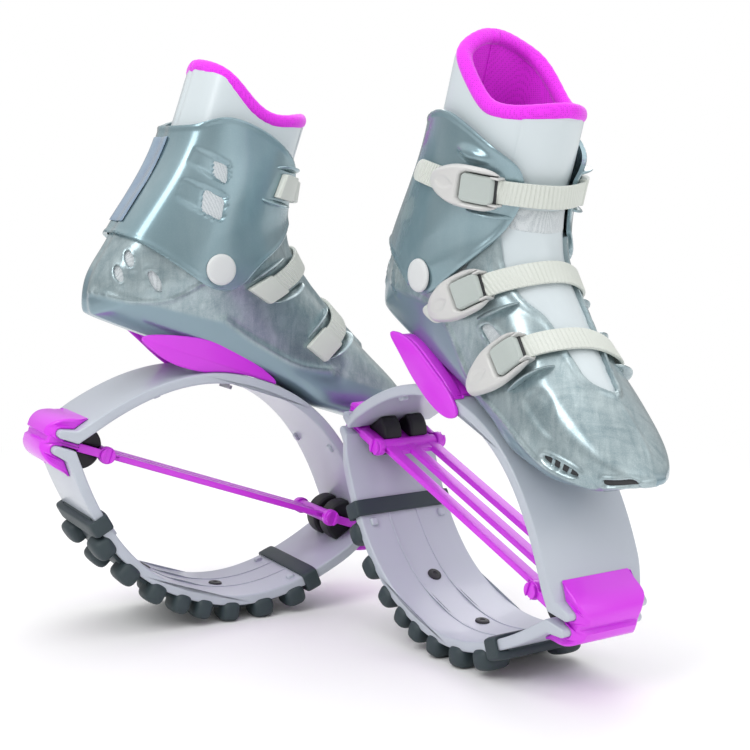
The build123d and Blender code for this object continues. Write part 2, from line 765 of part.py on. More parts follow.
def make_buckle_base(name):
    # a plate under the strap with an ear at each side that carries the hinge pin
    low = carrier_offset(name) + gap
    inner, outer = cheek_inner_y(), cheek_inner_y() + cheek_thickness
    base = skin(low, low + base_thickness, plan_box(name, 0, base_length, -outer, outer))
    ear_top = lever_offset(name) + 2 * knuckle_radius
    for y_from, y_to in ((-outer, -inner), (inner, outer)):
        base = base + skin(low, ear_top, plan_box(name, 0, cheek_length, y_from, y_to))
    return base - hinge_location(name) * round_bar(pivot_radius + pivot_clearance, lever_width)


def make_lever(name):
    # a spoon-shaped lever with a forked end, hinged on a pin between the fork's legs
    length, shift = lever_tip(name)
    half, tip, waist = lever_width / 2, lever_tip_width / 2, lever_waist_share * length
    shoulder = length - lever_shoulder_length
    outline = [(0, -half), (waist, -half), (shoulder, shift - 2 * tip), (length, shift - tip),
               (length, shift + tip), (shoulder, shift + 2 * tip), (waist, half), (0, half)]
    low = lever_offset(name)
    lever = skin(low, low + lever_thickness, plan_solid(name, outline))
    window_y = cheek_inner_y() + cheek_thickness + gap
    lever = lever - plan_box(name, -gap, tab_length + window_clearance, -window_y, window_y)
    return lever + hinge_location(name) * round_bar(pivot_radius, 2 * window_y + lever_thickness)


def make_tab(name):
    # the release tab lies in the lever's window over the strap and turns on the same pin
    narrow, wide = cheek_inner_y() - gap, tab_width / 2
    outline = [(hinge_x, -narrow), (knuckle_length, -narrow), (knuckle_length, -wide), (tab_length, -wide),
               (tab_length, wide), (knuckle_length, wide), (knuckle_length, narrow), (hinge_x, narrow)]
    low = lever_offset(name) + knuckle_radius - tab_thickness / 2
    tab = skin(low, low + tab_thickness, plan_solid(name, outline))
    place = hinge_location(name)
    tab = tab + place * cross_bar(knuckle_radius, 2 * narrow, pivot_side_count)
    return tab - place * round_bar(pivot_radius + pivot_clearance, lever_width)


def make_shoe():
    cap = make_cap()
    pieces = {
        "lower_leaf": make_lower_leaf(),
        "upper_leaf": make_upper_leaf(),
        "front_cap": cap,
        "rear_cap": cap.mirror(Plane.YZ),
        "tension_bars": make_tension_bars(),
        "link_pins": make_link_pins(),
        "bumpers": make_bumpers(),
        "tread_sole": make_tread_sole(),
        "sole_plugs": make_sole_plugs(),
        "boot_mount": make_boot_mount(),
        "mount_bolts": make_mount_bolts(),
        "lower_shell": make_lower_shell(),
        "cuff": make_cuff(),
        "cuff_spoiler": make_cuff_spoiler(),
        "ankle_rivets": make_ankle_rivets(),
        "liner": make_liner(),
        "liner_collar": make_liner_collar(),
        "tongue": make_tongue(),
        "insole": make_insole(),
        "top_buckle_base": make_buckle_base("top"),
        "lower_buckle_bases": Compound([make_buckle_base("middle"), make_buckle_base("toe")]),
    }
    for name in ("top", "middle", "toe"):
        pieces[name + "_strap"] = make_strap(name)
        pieces[name + "_buckle_lever"] = make_lever(name)
        pieces[name + "_release_tab"] = make_tab(name)
    return pieces


def set_down(pieces, turn_angle, nose_angle, x, y):
    # turns a shoe, leans it nose down and sets its lowest lug on the ground
    turn = Rot(0, 0, turn_angle) * Rot(0, nose_angle, 0)
    lowest = (turn * pieces["tread_sole"]).bounding_box().min.Z
    place = Pos(x, y, -lowest) * turn
    return {name: place * piece for name, piece in pieces.items()}


def main():
    right = make_shoe()
    left = {name: piece.mirror(Plane.XZ) for name, piece in right.items()}
    placed = {}
    for side, shoe, turn_angle, nose_angle, share in (
            ("right", right, right_turn_angle, right_nose_angle, 0.5),
            ("left", left, left_turn_angle, left_nose_angle, -0.5)):
        shoe = set_down(shoe, turn_angle, nose_angle, share * shoe_spacing_x, -share * shoe_spacing_y)
        placed.update({f"{side}_{name}": piece for name, piece in shoe.items()})
    boxes = [piece.bounding_box() for piece in placed.values()]
    low_x, high_x = min(box.min.X for box in boxes), max(box.max.X for box in boxes)
    low_y, high_y = min(box.min.Y for box in boxes), max(box.max.Y for box in boxes)
    centre = Pos(-(low_x + high_x) / 2, -(low_y + high_y) / 2, 0)
    for name, piece in placed.items():
        export_step(centre * piece, f"parts/{name}.step")


if __name__ == "__main__":
    main()
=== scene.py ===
import bpy
import json
import numpy as np
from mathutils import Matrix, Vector
from mathutils.geometry import tessellate_polygon


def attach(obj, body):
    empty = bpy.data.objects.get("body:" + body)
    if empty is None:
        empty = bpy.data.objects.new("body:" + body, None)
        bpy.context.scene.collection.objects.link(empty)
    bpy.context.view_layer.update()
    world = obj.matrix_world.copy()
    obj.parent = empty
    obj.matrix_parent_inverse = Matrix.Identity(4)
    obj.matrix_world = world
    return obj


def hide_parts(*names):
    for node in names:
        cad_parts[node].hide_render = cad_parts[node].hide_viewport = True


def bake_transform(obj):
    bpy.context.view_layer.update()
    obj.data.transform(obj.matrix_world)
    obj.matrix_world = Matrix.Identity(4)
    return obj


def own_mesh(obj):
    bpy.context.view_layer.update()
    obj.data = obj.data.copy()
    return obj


# Rebound boots, dressed in Blender. One boot is worked out in millimetres in its own frame (x to the toes,
# y to the wearer's left, z up, middle of the tension bars at the origin), then set down twice, the left one mirrored.
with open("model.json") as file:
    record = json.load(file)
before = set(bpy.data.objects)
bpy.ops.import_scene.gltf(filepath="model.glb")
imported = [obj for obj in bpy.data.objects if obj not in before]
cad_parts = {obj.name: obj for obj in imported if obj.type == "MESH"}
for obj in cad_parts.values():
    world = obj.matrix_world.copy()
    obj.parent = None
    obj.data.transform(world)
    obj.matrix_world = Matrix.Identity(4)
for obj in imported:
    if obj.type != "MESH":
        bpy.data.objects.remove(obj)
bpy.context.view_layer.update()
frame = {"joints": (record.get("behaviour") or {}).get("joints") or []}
print("frame loaded")

# How each boot stands: turn in plan and lean of the nose in degrees. Its place comes from the ankle hinge.
stance = {"right": {"turn": -55.5, "nose": 21.0, "mirror": 1}, "left": {"turn": 27.8, "nose": 19.7, "mirror": -1}}
bootForm = {
    "length": 296.0, "height": 236.5, "halfWidth": 48.0, "base": 83.9,
    # instep x z, sole x z, then half widths at the middle, low down and on the sole, as shares
    "stations": np.array([
        (0.500, 0.129, 0.498, 0.099, 0.26, 0.26, 0.16), (0.476, 0.150, 0.470, 0.072, 0.48, 0.52, 0.30),
        (0.422, 0.192, 0.399, 0.030, 0.71, 0.77, 0.48), (0.338, 0.242, 0.311, 0.004, 0.86, 0.94, 0.58),
        (0.253, 0.293, 0.203, 0.002, 0.92, 1.00, 0.62), (0.152, 0.360, 0.084, 0.036, 0.86, 0.96, 0.58),
        (0.068, 0.433, -0.051, 0.053, 0.86, 0.90, 0.52), (-0.007, 0.526, -0.355, 0.063, 0.99, 0.80, 0.40),
        (-0.027, 0.586, -0.474, 0.074, 1.04, 0.76, 0.30), (-0.041, 0.645, -0.502, 0.184, 1.04, 0.75, 0.24),
        (-0.051, 0.725, -0.481, 0.323, 1.02, 0.78, 0.22), (-0.051, 0.907, -0.414, 0.729, 0.90, 0.86, 0.26),
        (-0.044, 1.008, -0.419, 1.008, 0.88, 0.87, 0.26), (-0.040, 1.100, -0.424, 1.140, 0.89, 0.88, 0.27)]),
    "rows": 210, "columns": 176,
}
leafForm = {"rise": 91.5, "span": 142.4, "power": 2.23, "thick": 8.2, "endThick": 10.4, "halfWidth": 43.5,
            "endHalfWidth": 36.5, "beadX": 142.6, "beadZ": 6.6, "bead": 3.5}


def turnZ(degrees):
    # the 3 by 3 matrix of a turn about z
    a = np.radians(degrees)
    return np.array([[np.cos(a), -np.sin(a), 0], [np.sin(a), np.cos(a), 0], [0, 0, 1]])


def turnY(degrees):
    # the 3 by 3 matrix of a turn about y
    a = np.radians(degrees)
    return np.array([[np.cos(a), 0, np.sin(a)], [0, 1, 0], [-np.sin(a), 0, np.cos(a)]])


def sidePoint(xShare, zShare):
    # a place in side view from shares of the boot's length and height
    return np.array([xShare * bootForm["length"], bootForm["base"] + zShare * bootForm["height"]])


rivetAt = sidePoint(-0.232, 0.334)
sharpFrom = 40  # edges that turn by more degrees than this stay sharp
for side, stand in stance.items():
    hinge = next(j for j in frame["joints"] if j["name"] == side + "_ankle_hinge")
    stand["turned"] = turnZ(stand["turn"]) @ turnY(stand["nose"])
    stand["place"] = np.array(hinge["pos_m"]) * 1000 - stand["turned"] @ np.array([rivetAt[0], 0, rivetAt[1]])


def toRow(points, side):
    # millimetres in one boot's frame to metres in the row frame
    stand = stance[side]
    return (points * [1, stand["mirror"], 1] @ stand["turned"].T + stand["place"]) / 1000


made = {}


def setDown(key, points, faces, finish, nodes=(), body="ground", sides=("right", "left"), mark=None):
    # makes the mesh on both boots; faces is a list of index arrays, one for each face size
    out = []
    for side in sides:
        turn = stance[side]["mirror"]
        blocks = [np.asarray(block, np.int64)[:, ::turn] for block in faces if len(block)]
        mesh = bpy.data.meshes.new(f"{side}_{key}")
        sizes = np.concatenate([np.full(len(block), block.shape[1]) for block in blocks])
        corners = np.concatenate([block.ravel() for block in blocks])
        mesh.vertices.add(len(points))
        mesh.vertices.foreach_set("co", toRow(np.asarray(points, float), side).astype(np.float32).ravel())
        mesh.loops.add(len(corners))
        mesh.loops.foreach_set("vertex_index", corners.astype(np.int32))
        mesh.polygons.add(len(sizes))
        mesh.polygons.foreach_set("loop_start", np.concatenate([[0], np.cumsum(sizes)[:-1]]).astype(np.int32))
        mesh.polygons.foreach_set("use_smooth", np.ones(len(sizes), bool))
        if mark is not None:
            mesh.attributes.new("trim", "FLOAT", "POINT").data.foreach_set("value", np.asarray(mark, np.float32))
        mesh.update(calc_edges=True)
        mesh.validate()
        mesh.set_sharp_from_angle(angle=np.radians(sharpFrom))
        mesh.materials.append(materials[finish])
        obj = bpy.data.objects.new(mesh.name, mesh)
        bpy.context.collection.objects.link(obj)
        if body:
            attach(obj, body if body == "ground" else f"{side}_{body}")
        if nodes:
            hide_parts(*[f"{side}_{node}" for node in nodes])
        made[obj.name] = obj
        out.append(obj)
    return out


def unit(v):
    # each vector divided by its own length
    return v / np.maximum(np.linalg.norm(v, axis=-1, keepdims=True), 1e-9)


def parts(p):
    # the x, y and z of an array of points
    return p[..., 0], p[..., 1], p[..., 2]


def wholeTurn(count):
    # angles spread evenly round a circle
    return np.linspace(0, 2 * np.pi, count, endpoint=False)


def squarish(angle, power):
    # cosine and sine raised to a small power: a circle pushed out towards a square
    return [np.sign(t) * np.abs(t) ** power for t in (np.cos(angle), np.sin(angle))]


def rectangle(xFrom, xTo, half):
    # corners of a rectangle, with its second axis centred on nothing
    return [(xFrom, -half), (xTo, -half), (xTo, half), (xFrom, half)]


def joined(*pieces):
    # several (points, faces) pieces as one
    points, faces, base = [], {}, 0
    for p, blocks in pieces:
        points.append(np.asarray(p, float))
        for block in blocks:
            if len(block):
                block = np.asarray(block)
                faces.setdefault(block.shape[1], []).append(block + base)
        base += len(p)
    return np.vstack(points), [np.vstack(blocks) for blocks in faces.values()]


def shifted(piece, matrix=None, move=(0, 0, 0)):
    # the piece turned or mirrored by a matrix, then moved; a mirrored piece gets its faces turned round
    points, blocks = piece
    points = np.asarray(points, float)
    if matrix is not None:
        points = points @ np.asarray(matrix).T
        if np.linalg.det(matrix) < 0:
            blocks = [np.asarray(block)[:, ::-1] for block in blocks]
    return points + np.asarray(move, float), blocks


mirrorX, mirrorZ = np.diag([-1, 1, 1]), np.diag([1, 1, -1])


def gridFaces(rows, columns, closeRows=False, closeColumns=False):
    # four-sided faces between neighbours of a rows by columns grid of points
    r = np.arange(rows if closeRows else rows - 1)
    c = np.arange(columns if closeColumns else columns - 1)
    r, c = np.meshgrid(r, c, indexing="ij")
    a, b = r * columns + c, ((r + 1) % rows) * columns + c
    d, e = r * columns + (c + 1) % columns, ((r + 1) % rows) * columns + (c + 1) % columns
    return np.stack([a, b, e, d], -1).reshape(-1, 4)


def softCorners(outline, rounds=2, share=0.25):
    # corner cutting: each edge keeps its middle part, so corners become short curves
    outline = np.asarray(outline, float)
    for _ in range(rounds):
        after = np.roll(outline, -1, axis=0)
        outline = np.stack([outline * (1 - share) + after * share, outline * share + after * (1 - share)], 1).reshape(-1, 2)
    return outline


def evenly(outline, step):
    # points a step apart along a closed outline
    closed = np.vstack([outline, outline[:1]])
    run = np.concatenate([[0], np.cumsum(np.linalg.norm(np.diff(closed, axis=0), axis=1))])
    at = np.linspace(0, run[-1], max(8, int(run[-1] / step)), endpoint=False)
    return np.stack([np.interp(at, run, closed[:, k]) for k in range(closed.shape[1])], -1)


def outwardNormals(outline):
    # at each corner a right angle to the mean of its two edges, longer where the corner is sharp
    ahead, behind = unit(np.roll(outline, -1, axis=0) - outline), unit(outline - np.roll(outline, 1, axis=0))
    along = unit(ahead + behind)
    lift = 1 / np.maximum((along * ahead).sum(1), 0.5)
    return np.stack([along[:, 1], -along[:, 0]], -1) * lift[:, None]


def slab(outline, yFrom, yTo, edge=1.0, steps=3, widthAt=None):
    # a side-view outline (x, z) carried across the boot; its rims roll over by a quarter circle of the edge radius
    outline = np.asarray(outline, float)
    if np.cross(outline, np.roll(outline, -1, axis=0)).sum() < 0:
        outline = outline[::-1]
    outward = outwardNormals(outline)
    a = np.linspace(0, np.pi / 2, steps + 1)
    rings = [(yFrom + edge * (1 - np.sin(k)), edge * (1 - np.cos(k))) for k in a[::-1]]
    rings += [(yTo - edge * (1 - np.sin(k)), edge * (1 - np.cos(k))) for k in a]
    points = []
    for y, inset in rings:
        ring = outline - outward * inset
        across = np.full(len(ring), y) * (1 if widthAt is None else widthAt(ring[:, 0]))
        points.append(np.stack([ring[:, 0], across, ring[:, 1]], -1))
    n = len(outline)
    cap = capTriangles(outline)
    return outwardFacing((np.vstack(points), [gridFaces(len(rings), n, closeColumns=True), cap,
                                              cap[:, ::-1] + (len(rings) - 1) * n]))


def capTriangles(outline):
    # triangles that fill an outline, all turning the way the outline does
    cap = np.array(tessellate_polygon([[Vector((x, z, 0)) for x, z in outline]]))
    a, b, c = outline[cap[:, 0]], outline[cap[:, 1]], outline[cap[:, 2]]
    turn = (b[:, 0] - a[:, 0]) * (c[:, 1] - a[:, 1]) - (b[:, 1] - a[:, 1]) * (c[:, 0] - a[:, 0])
    cap[turn < 0] = cap[turn < 0][:, ::-1]
    return cap


def outwardFacing(piece):
    # turns every face round if the closed piece has a negative volume
    points, blocks = piece
    volume = 0.0
    for block in blocks:
        block = np.asarray(block)
        for k in range(1, block.shape[1] - 1):
            a, b, c = points[block[:, 0]], points[block[:, k]], points[block[:, k + 1]]
            volume += (a * np.cross(b, c)).sum()
    return points, ([np.asarray(block)[:, ::-1] for block in blocks] if volume < 0 else blocks)


def closedTube(points):
    # a solid from rings of points: faces between the rings and one face across each end
    rows, n = points.shape[:2]
    ends = [np.arange(n)[None, :], (np.arange(n) + (rows - 1) * n)[None, ::-1]]
    return outwardFacing((points.reshape(-1, 3), [gridFaces(rows, n, closeColumns=True)] + ends))


def lathe(profile, sides=28):
    # radii and heights turned round the z axis; the ends close on the axis
    profile, a = np.asarray(profile, float)[:, None], wholeTurn(sides)
    return closedTube(np.stack([profile[..., 0] * np.cos(a), profile[..., 0] * np.sin(a), profile[..., 1] + 0 * a], -1))


def insideOutline(x, z, outline):
    # signed distance to an outline in the plane, positive inside it
    outline = np.asarray(outline, float)
    best = np.full(x.shape, 1e9)
    inside = np.zeros(x.shape, bool)
    for (ax, az), (bx, bz) in zip(outline, np.roll(outline, -1, axis=0)):
        ex, ez = bx - ax, bz - az
        share = np.clip(((x - ax) * ex + (z - az) * ez) / max(ex * ex + ez * ez, 1e-9), 0, 1)
        best = np.minimum(best, np.hypot(x - ax - share * ex, z - az - share * ez))
        crosses = ((az > z) != (bz > z)) & (x < ex * (z - az) / (ez if abs(ez) > 1e-9 else 1e-9) + ax)
        inside ^= crosses
    return np.where(inside, best, -best)


def insideOval(x, z, place, length, height, angle):
    # about the distance to an oval, positive inside it
    a = np.radians(angle)
    u = (x - place[0]) * np.cos(a) + (z - place[1]) * np.sin(a)
    v = -(x - place[0]) * np.sin(a) + (z - place[1]) * np.cos(a)
    r = np.hypot(u / (length / 2), v / (height / 2))
    return (1 - r) * min(length, height) / 2 * np.maximum(r, 1) ** 0.3


def smoothStep(value, low, high):
    # nothing below low, one above high, and between them three times the share squared less twice its cube
    t = np.clip((value - low) / (high - low), 0, 1)
    return t * t * (3 - 2 * t)


def roundedEdge(inside, radius):
    # 0 on the border, up to 1 a radius further in, along a quarter circle
    return np.sqrt(np.clip(1 - (1 - np.clip(inside / radius, 0, 1)) ** 2, 0, 1))


def trimmed(outer, inner, inside, closeColumns=False):
    # walls between two grids, kept where inside is positive; cells on the border are cut where inside is zero
    rows, columns = inside.shape
    if closeColumns:
        outer, inner = [np.concatenate([g, g[:, :1]], 1) for g in (outer, inner)]
        inside = np.concatenate([inside, inside[:, :1]], 1)
        columns += 1
    inside = np.where(np.abs(inside) < 1e-6, 1e-6, inside)
    flatOut, flatIn, f = outer.reshape(-1, 3), inner.reshape(-1, 3), inside.ravel()
    index = np.arange(rows * columns).reshape(rows, columns)
    cell = np.stack([index[:-1, :-1], index[1:, :-1], index[1:, 1:], index[:-1, 1:]], -1).reshape(-1, 4)
    positive = f[cell] > 0
    code = (positive * [1, 2, 4, 8]).sum(1)
    polygons = {}
    total = rows * columns

    def cutId(a, b):
        lo, hi = np.minimum(a, b), np.maximum(a, b)
        return lo.astype(np.int64) * total + hi

    for value in range(1, 16):
        chosen = cell[code == value]
        if not len(chosen):
            continue
        on = [bool(value >> k & 1) for k in range(4)]
        ring = []
        for k in range(4):
            after = (k + 1) % 4
            if on[k]:
                ring.append(chosen[:, k])
            if on[k] != on[after]:
                ring.append(-cutId(chosen[:, k], chosen[:, after]) - 1)
        block = np.stack(ring, 1)
        if value in (5, 10):
            # two corners that touch only across the cell: each gets its own triangle
            halves = [block[:, [0, 1, -1]], block[:, [2, 3, 4]]] if value == 5 else [block[:, [5, 0, 1]], block[:, [2, 3, 4]]]
            for half in halves:
                polygons.setdefault(3, []).append(half)
            continue
        polygons.setdefault(block.shape[1], []).append(block)
    blocks = {size: np.vstack(parts) for size, parts in polygons.items()}
    keys = np.unique(np.concatenate([block.ravel() for block in blocks.values()]))
    cut = -keys[keys < 0] - 1
    lo, hi = cut // total, cut % total
    share = (f[lo] / (f[lo] - f[hi]))[:, None]
    whole = keys[keys >= 0]
    newOut = np.vstack([flatOut[lo] + share * (flatOut[hi] - flatOut[lo]), flatOut[whole]])
    newIn = np.vstack([flatIn[lo] + share * (flatIn[hi] - flatIn[lo]), flatIn[whole]])
    order = np.concatenate([keys[keys < 0], whole])
    sorter = np.argsort(order)
    ordered = order[sorter]
    blocks = {size: sorter[np.searchsorted(ordered, block)] for size, block in blocks.items()}
    # points that lie on each other (seam columns) become one
    rounded = np.round(newOut, 4)
    _, first, back = np.unique(rounded, axis=0, return_index=True, return_inverse=True)
    back = back.ravel()
    newOut, newIn = newOut[first], newIn[first]
    n = len(newOut)
    faces = {}
    edges = []
    for size, block in blocks.items():
        block = back[block]
        keep = np.all(block != np.roll(block, -1, axis=1), axis=1)
        block = block[keep]
        faces.setdefault(size, []).extend([block, block[:, ::-1] + n])
        edges.append(np.stack([block.ravel(), np.roll(block, -1, axis=1).ravel()], -1))
    edges = np.vstack(edges)
    code = edges[:, 0] * n + edges[:, 1]
    border = edges[~np.isin(code, edges[:, 1] * n + edges[:, 0])]
    faces.setdefault(4, []).append(np.stack([border[:, 1], border[:, 0], border[:, 0] + n, border[:, 1] + n], -1))
    return np.vstack([newOut, newIn]), [np.vstack(parts) for parts in faces.values()]


def hermite(knots, values, at):
    # a smooth curve through table rows that never swings past them
    step = np.diff(knots)[:, None]
    slope = np.diff(values, axis=0) / step
    tangent = np.zeros_like(values)
    same = slope[:-1] * slope[1:] > 0
    w1, w2 = 2 * step[1:] + step[:-1], step[1:] + 2 * step[:-1]
    safe = np.where(same, slope[:-1], 1), np.where(same, slope[1:], 1)
    tangent[1:-1] = np.where(same, (w1 + w2) / (w1 / safe[0] + w2 / safe[1]), 0)
    tangent[0], tangent[-1] = slope[0], slope[-1]
    i = np.clip(np.searchsorted(knots, at) - 1, 0, len(knots) - 2)
    h = knots[i + 1] - knots[i]
    t = ((at - knots[i]) / h)[:, None]
    h = h[:, None]
    return ((2 * t**3 - 3 * t**2 + 1) * values[i] + (t**3 - 2 * t**2 + t) * h * tangent[i]
            + (3 * t**2 - 2 * t**3) * values[i + 1] + (t**3 - t**2) * h * tangent[i + 1])


def smoothLine(points, count=48):
    # a smooth open line through a few points
    points = np.asarray(points, float)
    knots = np.concatenate([[0], np.cumsum(np.linalg.norm(np.diff(points, axis=0), axis=1))])
    return hermite(knots, points, np.linspace(0, knots[-1], count))


def lineDistance(p, line):
    # distance to an open line, in the plane or in space
    best = np.full(p.shape[:-1], 1e9)
    for a, b in zip(line[:-1], line[1:]):
        share = np.clip(((p - a) @ (b - a)) / ((b - a) @ (b - a)), 0, 1)
        best = np.minimum(best, np.linalg.norm(p - a - share[..., None] * (b - a), axis=-1))
    return best


def bootGrid(offset, rows=None, columns=None):
    # boot form: rows run from the toe to the top, columns from the crown round by -y, sole and +y;
    # each section is a closed smooth curve through ten points that its station's half widths give
    rows, columns = rows or bootForm["rows"], columns or bootForm["columns"]
    table = bootForm["stations"]
    size = np.array([bootForm["length"], bootForm["height"]])
    top, low = table[:, 0:2] * size, table[:, 2:4] * size
    hop = np.linalg.norm(np.diff(top, axis=0), axis=1) + np.linalg.norm(np.diff(low, axis=0), axis=1)
    knots = np.concatenate([[0], np.cumsum(hop)])
    values = hermite(knots, np.hstack([top, low, table[:, 4:7] * bootForm["halfWidth"]]), np.linspace(0, knots[-1], rows))
    top, low, half = values[:, 0:2], values[:, 2:4], values[:, 4:7] + offset
    down = low - top
    depth = np.linalg.norm(down, axis=1, keepdims=True)
    down = down / depth
    top, depth = top - down * offset, depth + 2 * offset
    mid, lowHalf, sole = half[:, 0], half[:, 1], half[:, 2]
    zero = np.zeros(rows)
    d = np.stack([zero, zero + 0.17, zero + 0.50, zero + 0.88, zero + 1.0, zero + 1.0])
    y = np.stack([zero, 0.78 * mid, mid, 0.95 * lowHalf, sole, zero])
    d = np.concatenate([d, d[4:0:-1]])
    y = np.concatenate([-y, y[4:0:-1]])
    u = np.linspace(0, 10, columns, endpoint=False)
    i, t = np.floor(u).astype(int), (u - np.floor(u))[:, None]
    out = []
    for c in (d, y):
        p0, p1, p2, p3 = c[(i - 1) % 10], c[i % 10], c[(i + 1) % 10], c[(i + 2) % 10]
        out.append(0.5 * (2 * p1 + (p2 - p0) * t + (2 * p0 - 5 * p1 + 4 * p2 - p3) * t**2
                          + (3 * p1 - p0 - 3 * p2 + p3) * t**3))
    d, y = out[0].T, out[1].T
    x = top[:, 0:1] + down[:, 0:1] * d * depth
    z = bootForm["base"] + top[:, 1:2] + down[:, 1:2] * d * depth
    return np.stack([x, y, z], -1)


def roundNose(grid, reach=4.0, steps=7):
    # rows added ahead of the first one shrink to a point along a quarter circle
    first = grid[0]
    middle = first.mean(0)
    a = np.linspace(np.pi / 2, 0, steps, endpoint=False)[:, None, None]
    ahead = np.array([reach, 0, 0])
    cap = middle + (first - middle) * np.cos(a) + ahead * np.sin(a)
    cap[0] = middle + (first - middle) * 0.02 + ahead
    return np.concatenate([cap, grid])


def outwardOf(grid):
    # unit directions out of the form, from the cross product of the grid's two directions
    along = np.gradient(grid, axis=0)
    around = np.roll(grid, -1, 1) - np.roll(grid, 1, 1)
    return unit(np.cross(along, around))


def bootSkin(low, high, insideOf, bumpOf=None, edge=1.1, nose=False, rows=None, columns=None):
    # the wall between two offsets of the form, trimmed, with bumps pushed out along the surface's own direction;
    # within the edge radius of its border the outer face sinks along a quarter circle
    outer, inner = bootGrid(high, rows, columns), bootGrid(low, rows, columns)
    if nose:
        outer, inner = roundNose(outer), roundNose(inner, 2.5)
    inside = insideOf(outer)
    out = outwardOf(outer)
    push = np.zeros(inside.shape) if bumpOf is None else bumpOf(outer)
    push = push - 0.8 * edge * (1 - roundedEdge(inside, edge))
    return trimmed(outer + out * push[..., None], inner, inside, closeColumns=True)


def shellOutline():
    # everything below the shell's upper edge in side view
    top = [sidePoint(*p) for p in ((-0.334, 0.389), (-0.232, 0.432), (-0.074, 0.550))]
    return np.array([(-400, 0), (-400, top[0][1])] + [tuple(p) for p in top] + [(400, top[-1][1]), (400, 0)])


crownLine = np.array([sidePoint(*row[:2]) for row in bootForm["stations"]])


def underCrown(x, z):
    # how far a place lies under the boot's crown line
    order = np.argsort(crownLine[:8, 0])
    return np.interp(x, crownLine[:8, 0][order], crownLine[:8, 1][order]) - z


lowerShell = {"wall": 2.8, "throatDepth": 34.0,
              # the open instep seen from above
              "throat": ((-60, -30), (-21, -30), (11.7, -27), (32.5, -15), (64.4, -14), (82.6, -12), (94.2, 6.5), (73.3, 9.5),
                         (31.3, 21.5), (-13.8, 21.7), (-60, 21.7)),
              "vents": ((-0.459, 0.275, 17.0), (-0.471, 0.218, 17.0), (-0.380, 0.231, 21.0)), "ventHeight": 9.0,
              "ventAngle": -38.0,
              # cut-outs of the outer side with white mesh behind them: beside the toe buckle, on the instep and at the ankle
              "cuts": (((-7.7, 150), (-0.3, 157), (24, 151), (12.6, 141)),
                       ((-45.8, 175), (-36, 192), (-32, 184), (-41, 172))),
              "dent": ((50, 125), (64, 143), (82, 136), (95, 117), (88, 112), (70, 118)),
              "eye": ((89, 98), (90, 104), (117, 105), (119, 98.5)), "eyeRibs": (98.0, 104.5, 111.0),
              "toeSlot": ((134.8, -28.2, 104.4), (145.1, -16.5, 109.5), (147.4, 0, 107.3)), "toeSlotHalf": 2.7,
              "ridge": ((-114, 135), (-58, 144), (0.3, 112), (56, 103), (99, 95), (131, 97)),
              "swoosh": ((-48.8, 127.4), (-13.5, 117.6), (24.7, 111.8), (51.5, 115.7)),
              "heelLine": ((-148.7, 117), (-131.4, 117.5), (-96.7, 128.7), (-79, 147))}
throatLine = softCorners(lowerShell["throat"], 3)
ridgeLine, swooshLine, heelLine = [smoothLine(lowerShell[key]) for key in ("ridge", "swoosh", "heelLine")]


def throatInside(p):
    # positive in the open instep
    gap = insideOutline(p[..., 0], p[..., 1], throatLine)
    return np.where(underCrown(p[..., 0], p[..., 2]) < lowerShell["throatDepth"], gap, -20.0)


shellNear = bootGrid(0.0).reshape(-1, 3)


def ventInside(p):
    # x is carried on round the heel's corner as y falls, so that a vent keeps its shape there
    x, y, z = parts(p)
    holes = []
    for xs, zs, length in lowerShell["vents"]:
        at = sidePoint(xs, zs)
        beside = shellNear[np.hypot(shellNear[:, 0] - at[0], shellNear[:, 2] - at[1]) < 4.0]
        turned = x - 0.9 * (np.abs(beside[:, 1]).max() - np.abs(y))
        holes.append(insideOval(turned, z, at, length, lowerShell["ventHeight"], lowerShell["ventAngle"]))
    return np.where(np.abs(y) > 8, np.maximum.reduce(holes), -20.0)


def cutInside(p):
    # positive in the cut-outs of the outer side
    x, y, z = parts(p)
    holes = [insideOutline(x, z, softCorners(cut, 2, 0.15)) for cut in lowerShell["cuts"]]
    return np.where(y < -6, np.maximum.reduce(holes), -20.0)


def eyeInside(p):
    # positive in the eye slot beside the toe strap
    x, y, z = parts(p)
    return np.where(y < -6, insideOutline(x, z, softCorners(lowerShell["eye"], 2)), -20.0)


def eyeOpen(p):
    # the eye slot with its upright ribs left standing
    gap = eyeInside(p)
    for at in lowerShell["eyeRibs"]:
        gap = np.minimum(gap, np.abs(p[..., 0] - at) - 0.9)
    return gap


def toeSlotInside(p):
    # half the slot's width less the distance from its line
    return lowerShell["toeSlotHalf"] - lineDistance(p, np.array(lowerShell["toeSlot"], float))


def shellInside(p):
    # the least of the outline and of what each opening leaves
    keep = np.minimum(insideOutline(p[..., 0], p[..., 2], shellOutline()), -throatInside(p))
    return np.minimum.reduce([keep, -ventInside(p), -cutInside(p), -eyeOpen(p), -toeSlotInside(p)])


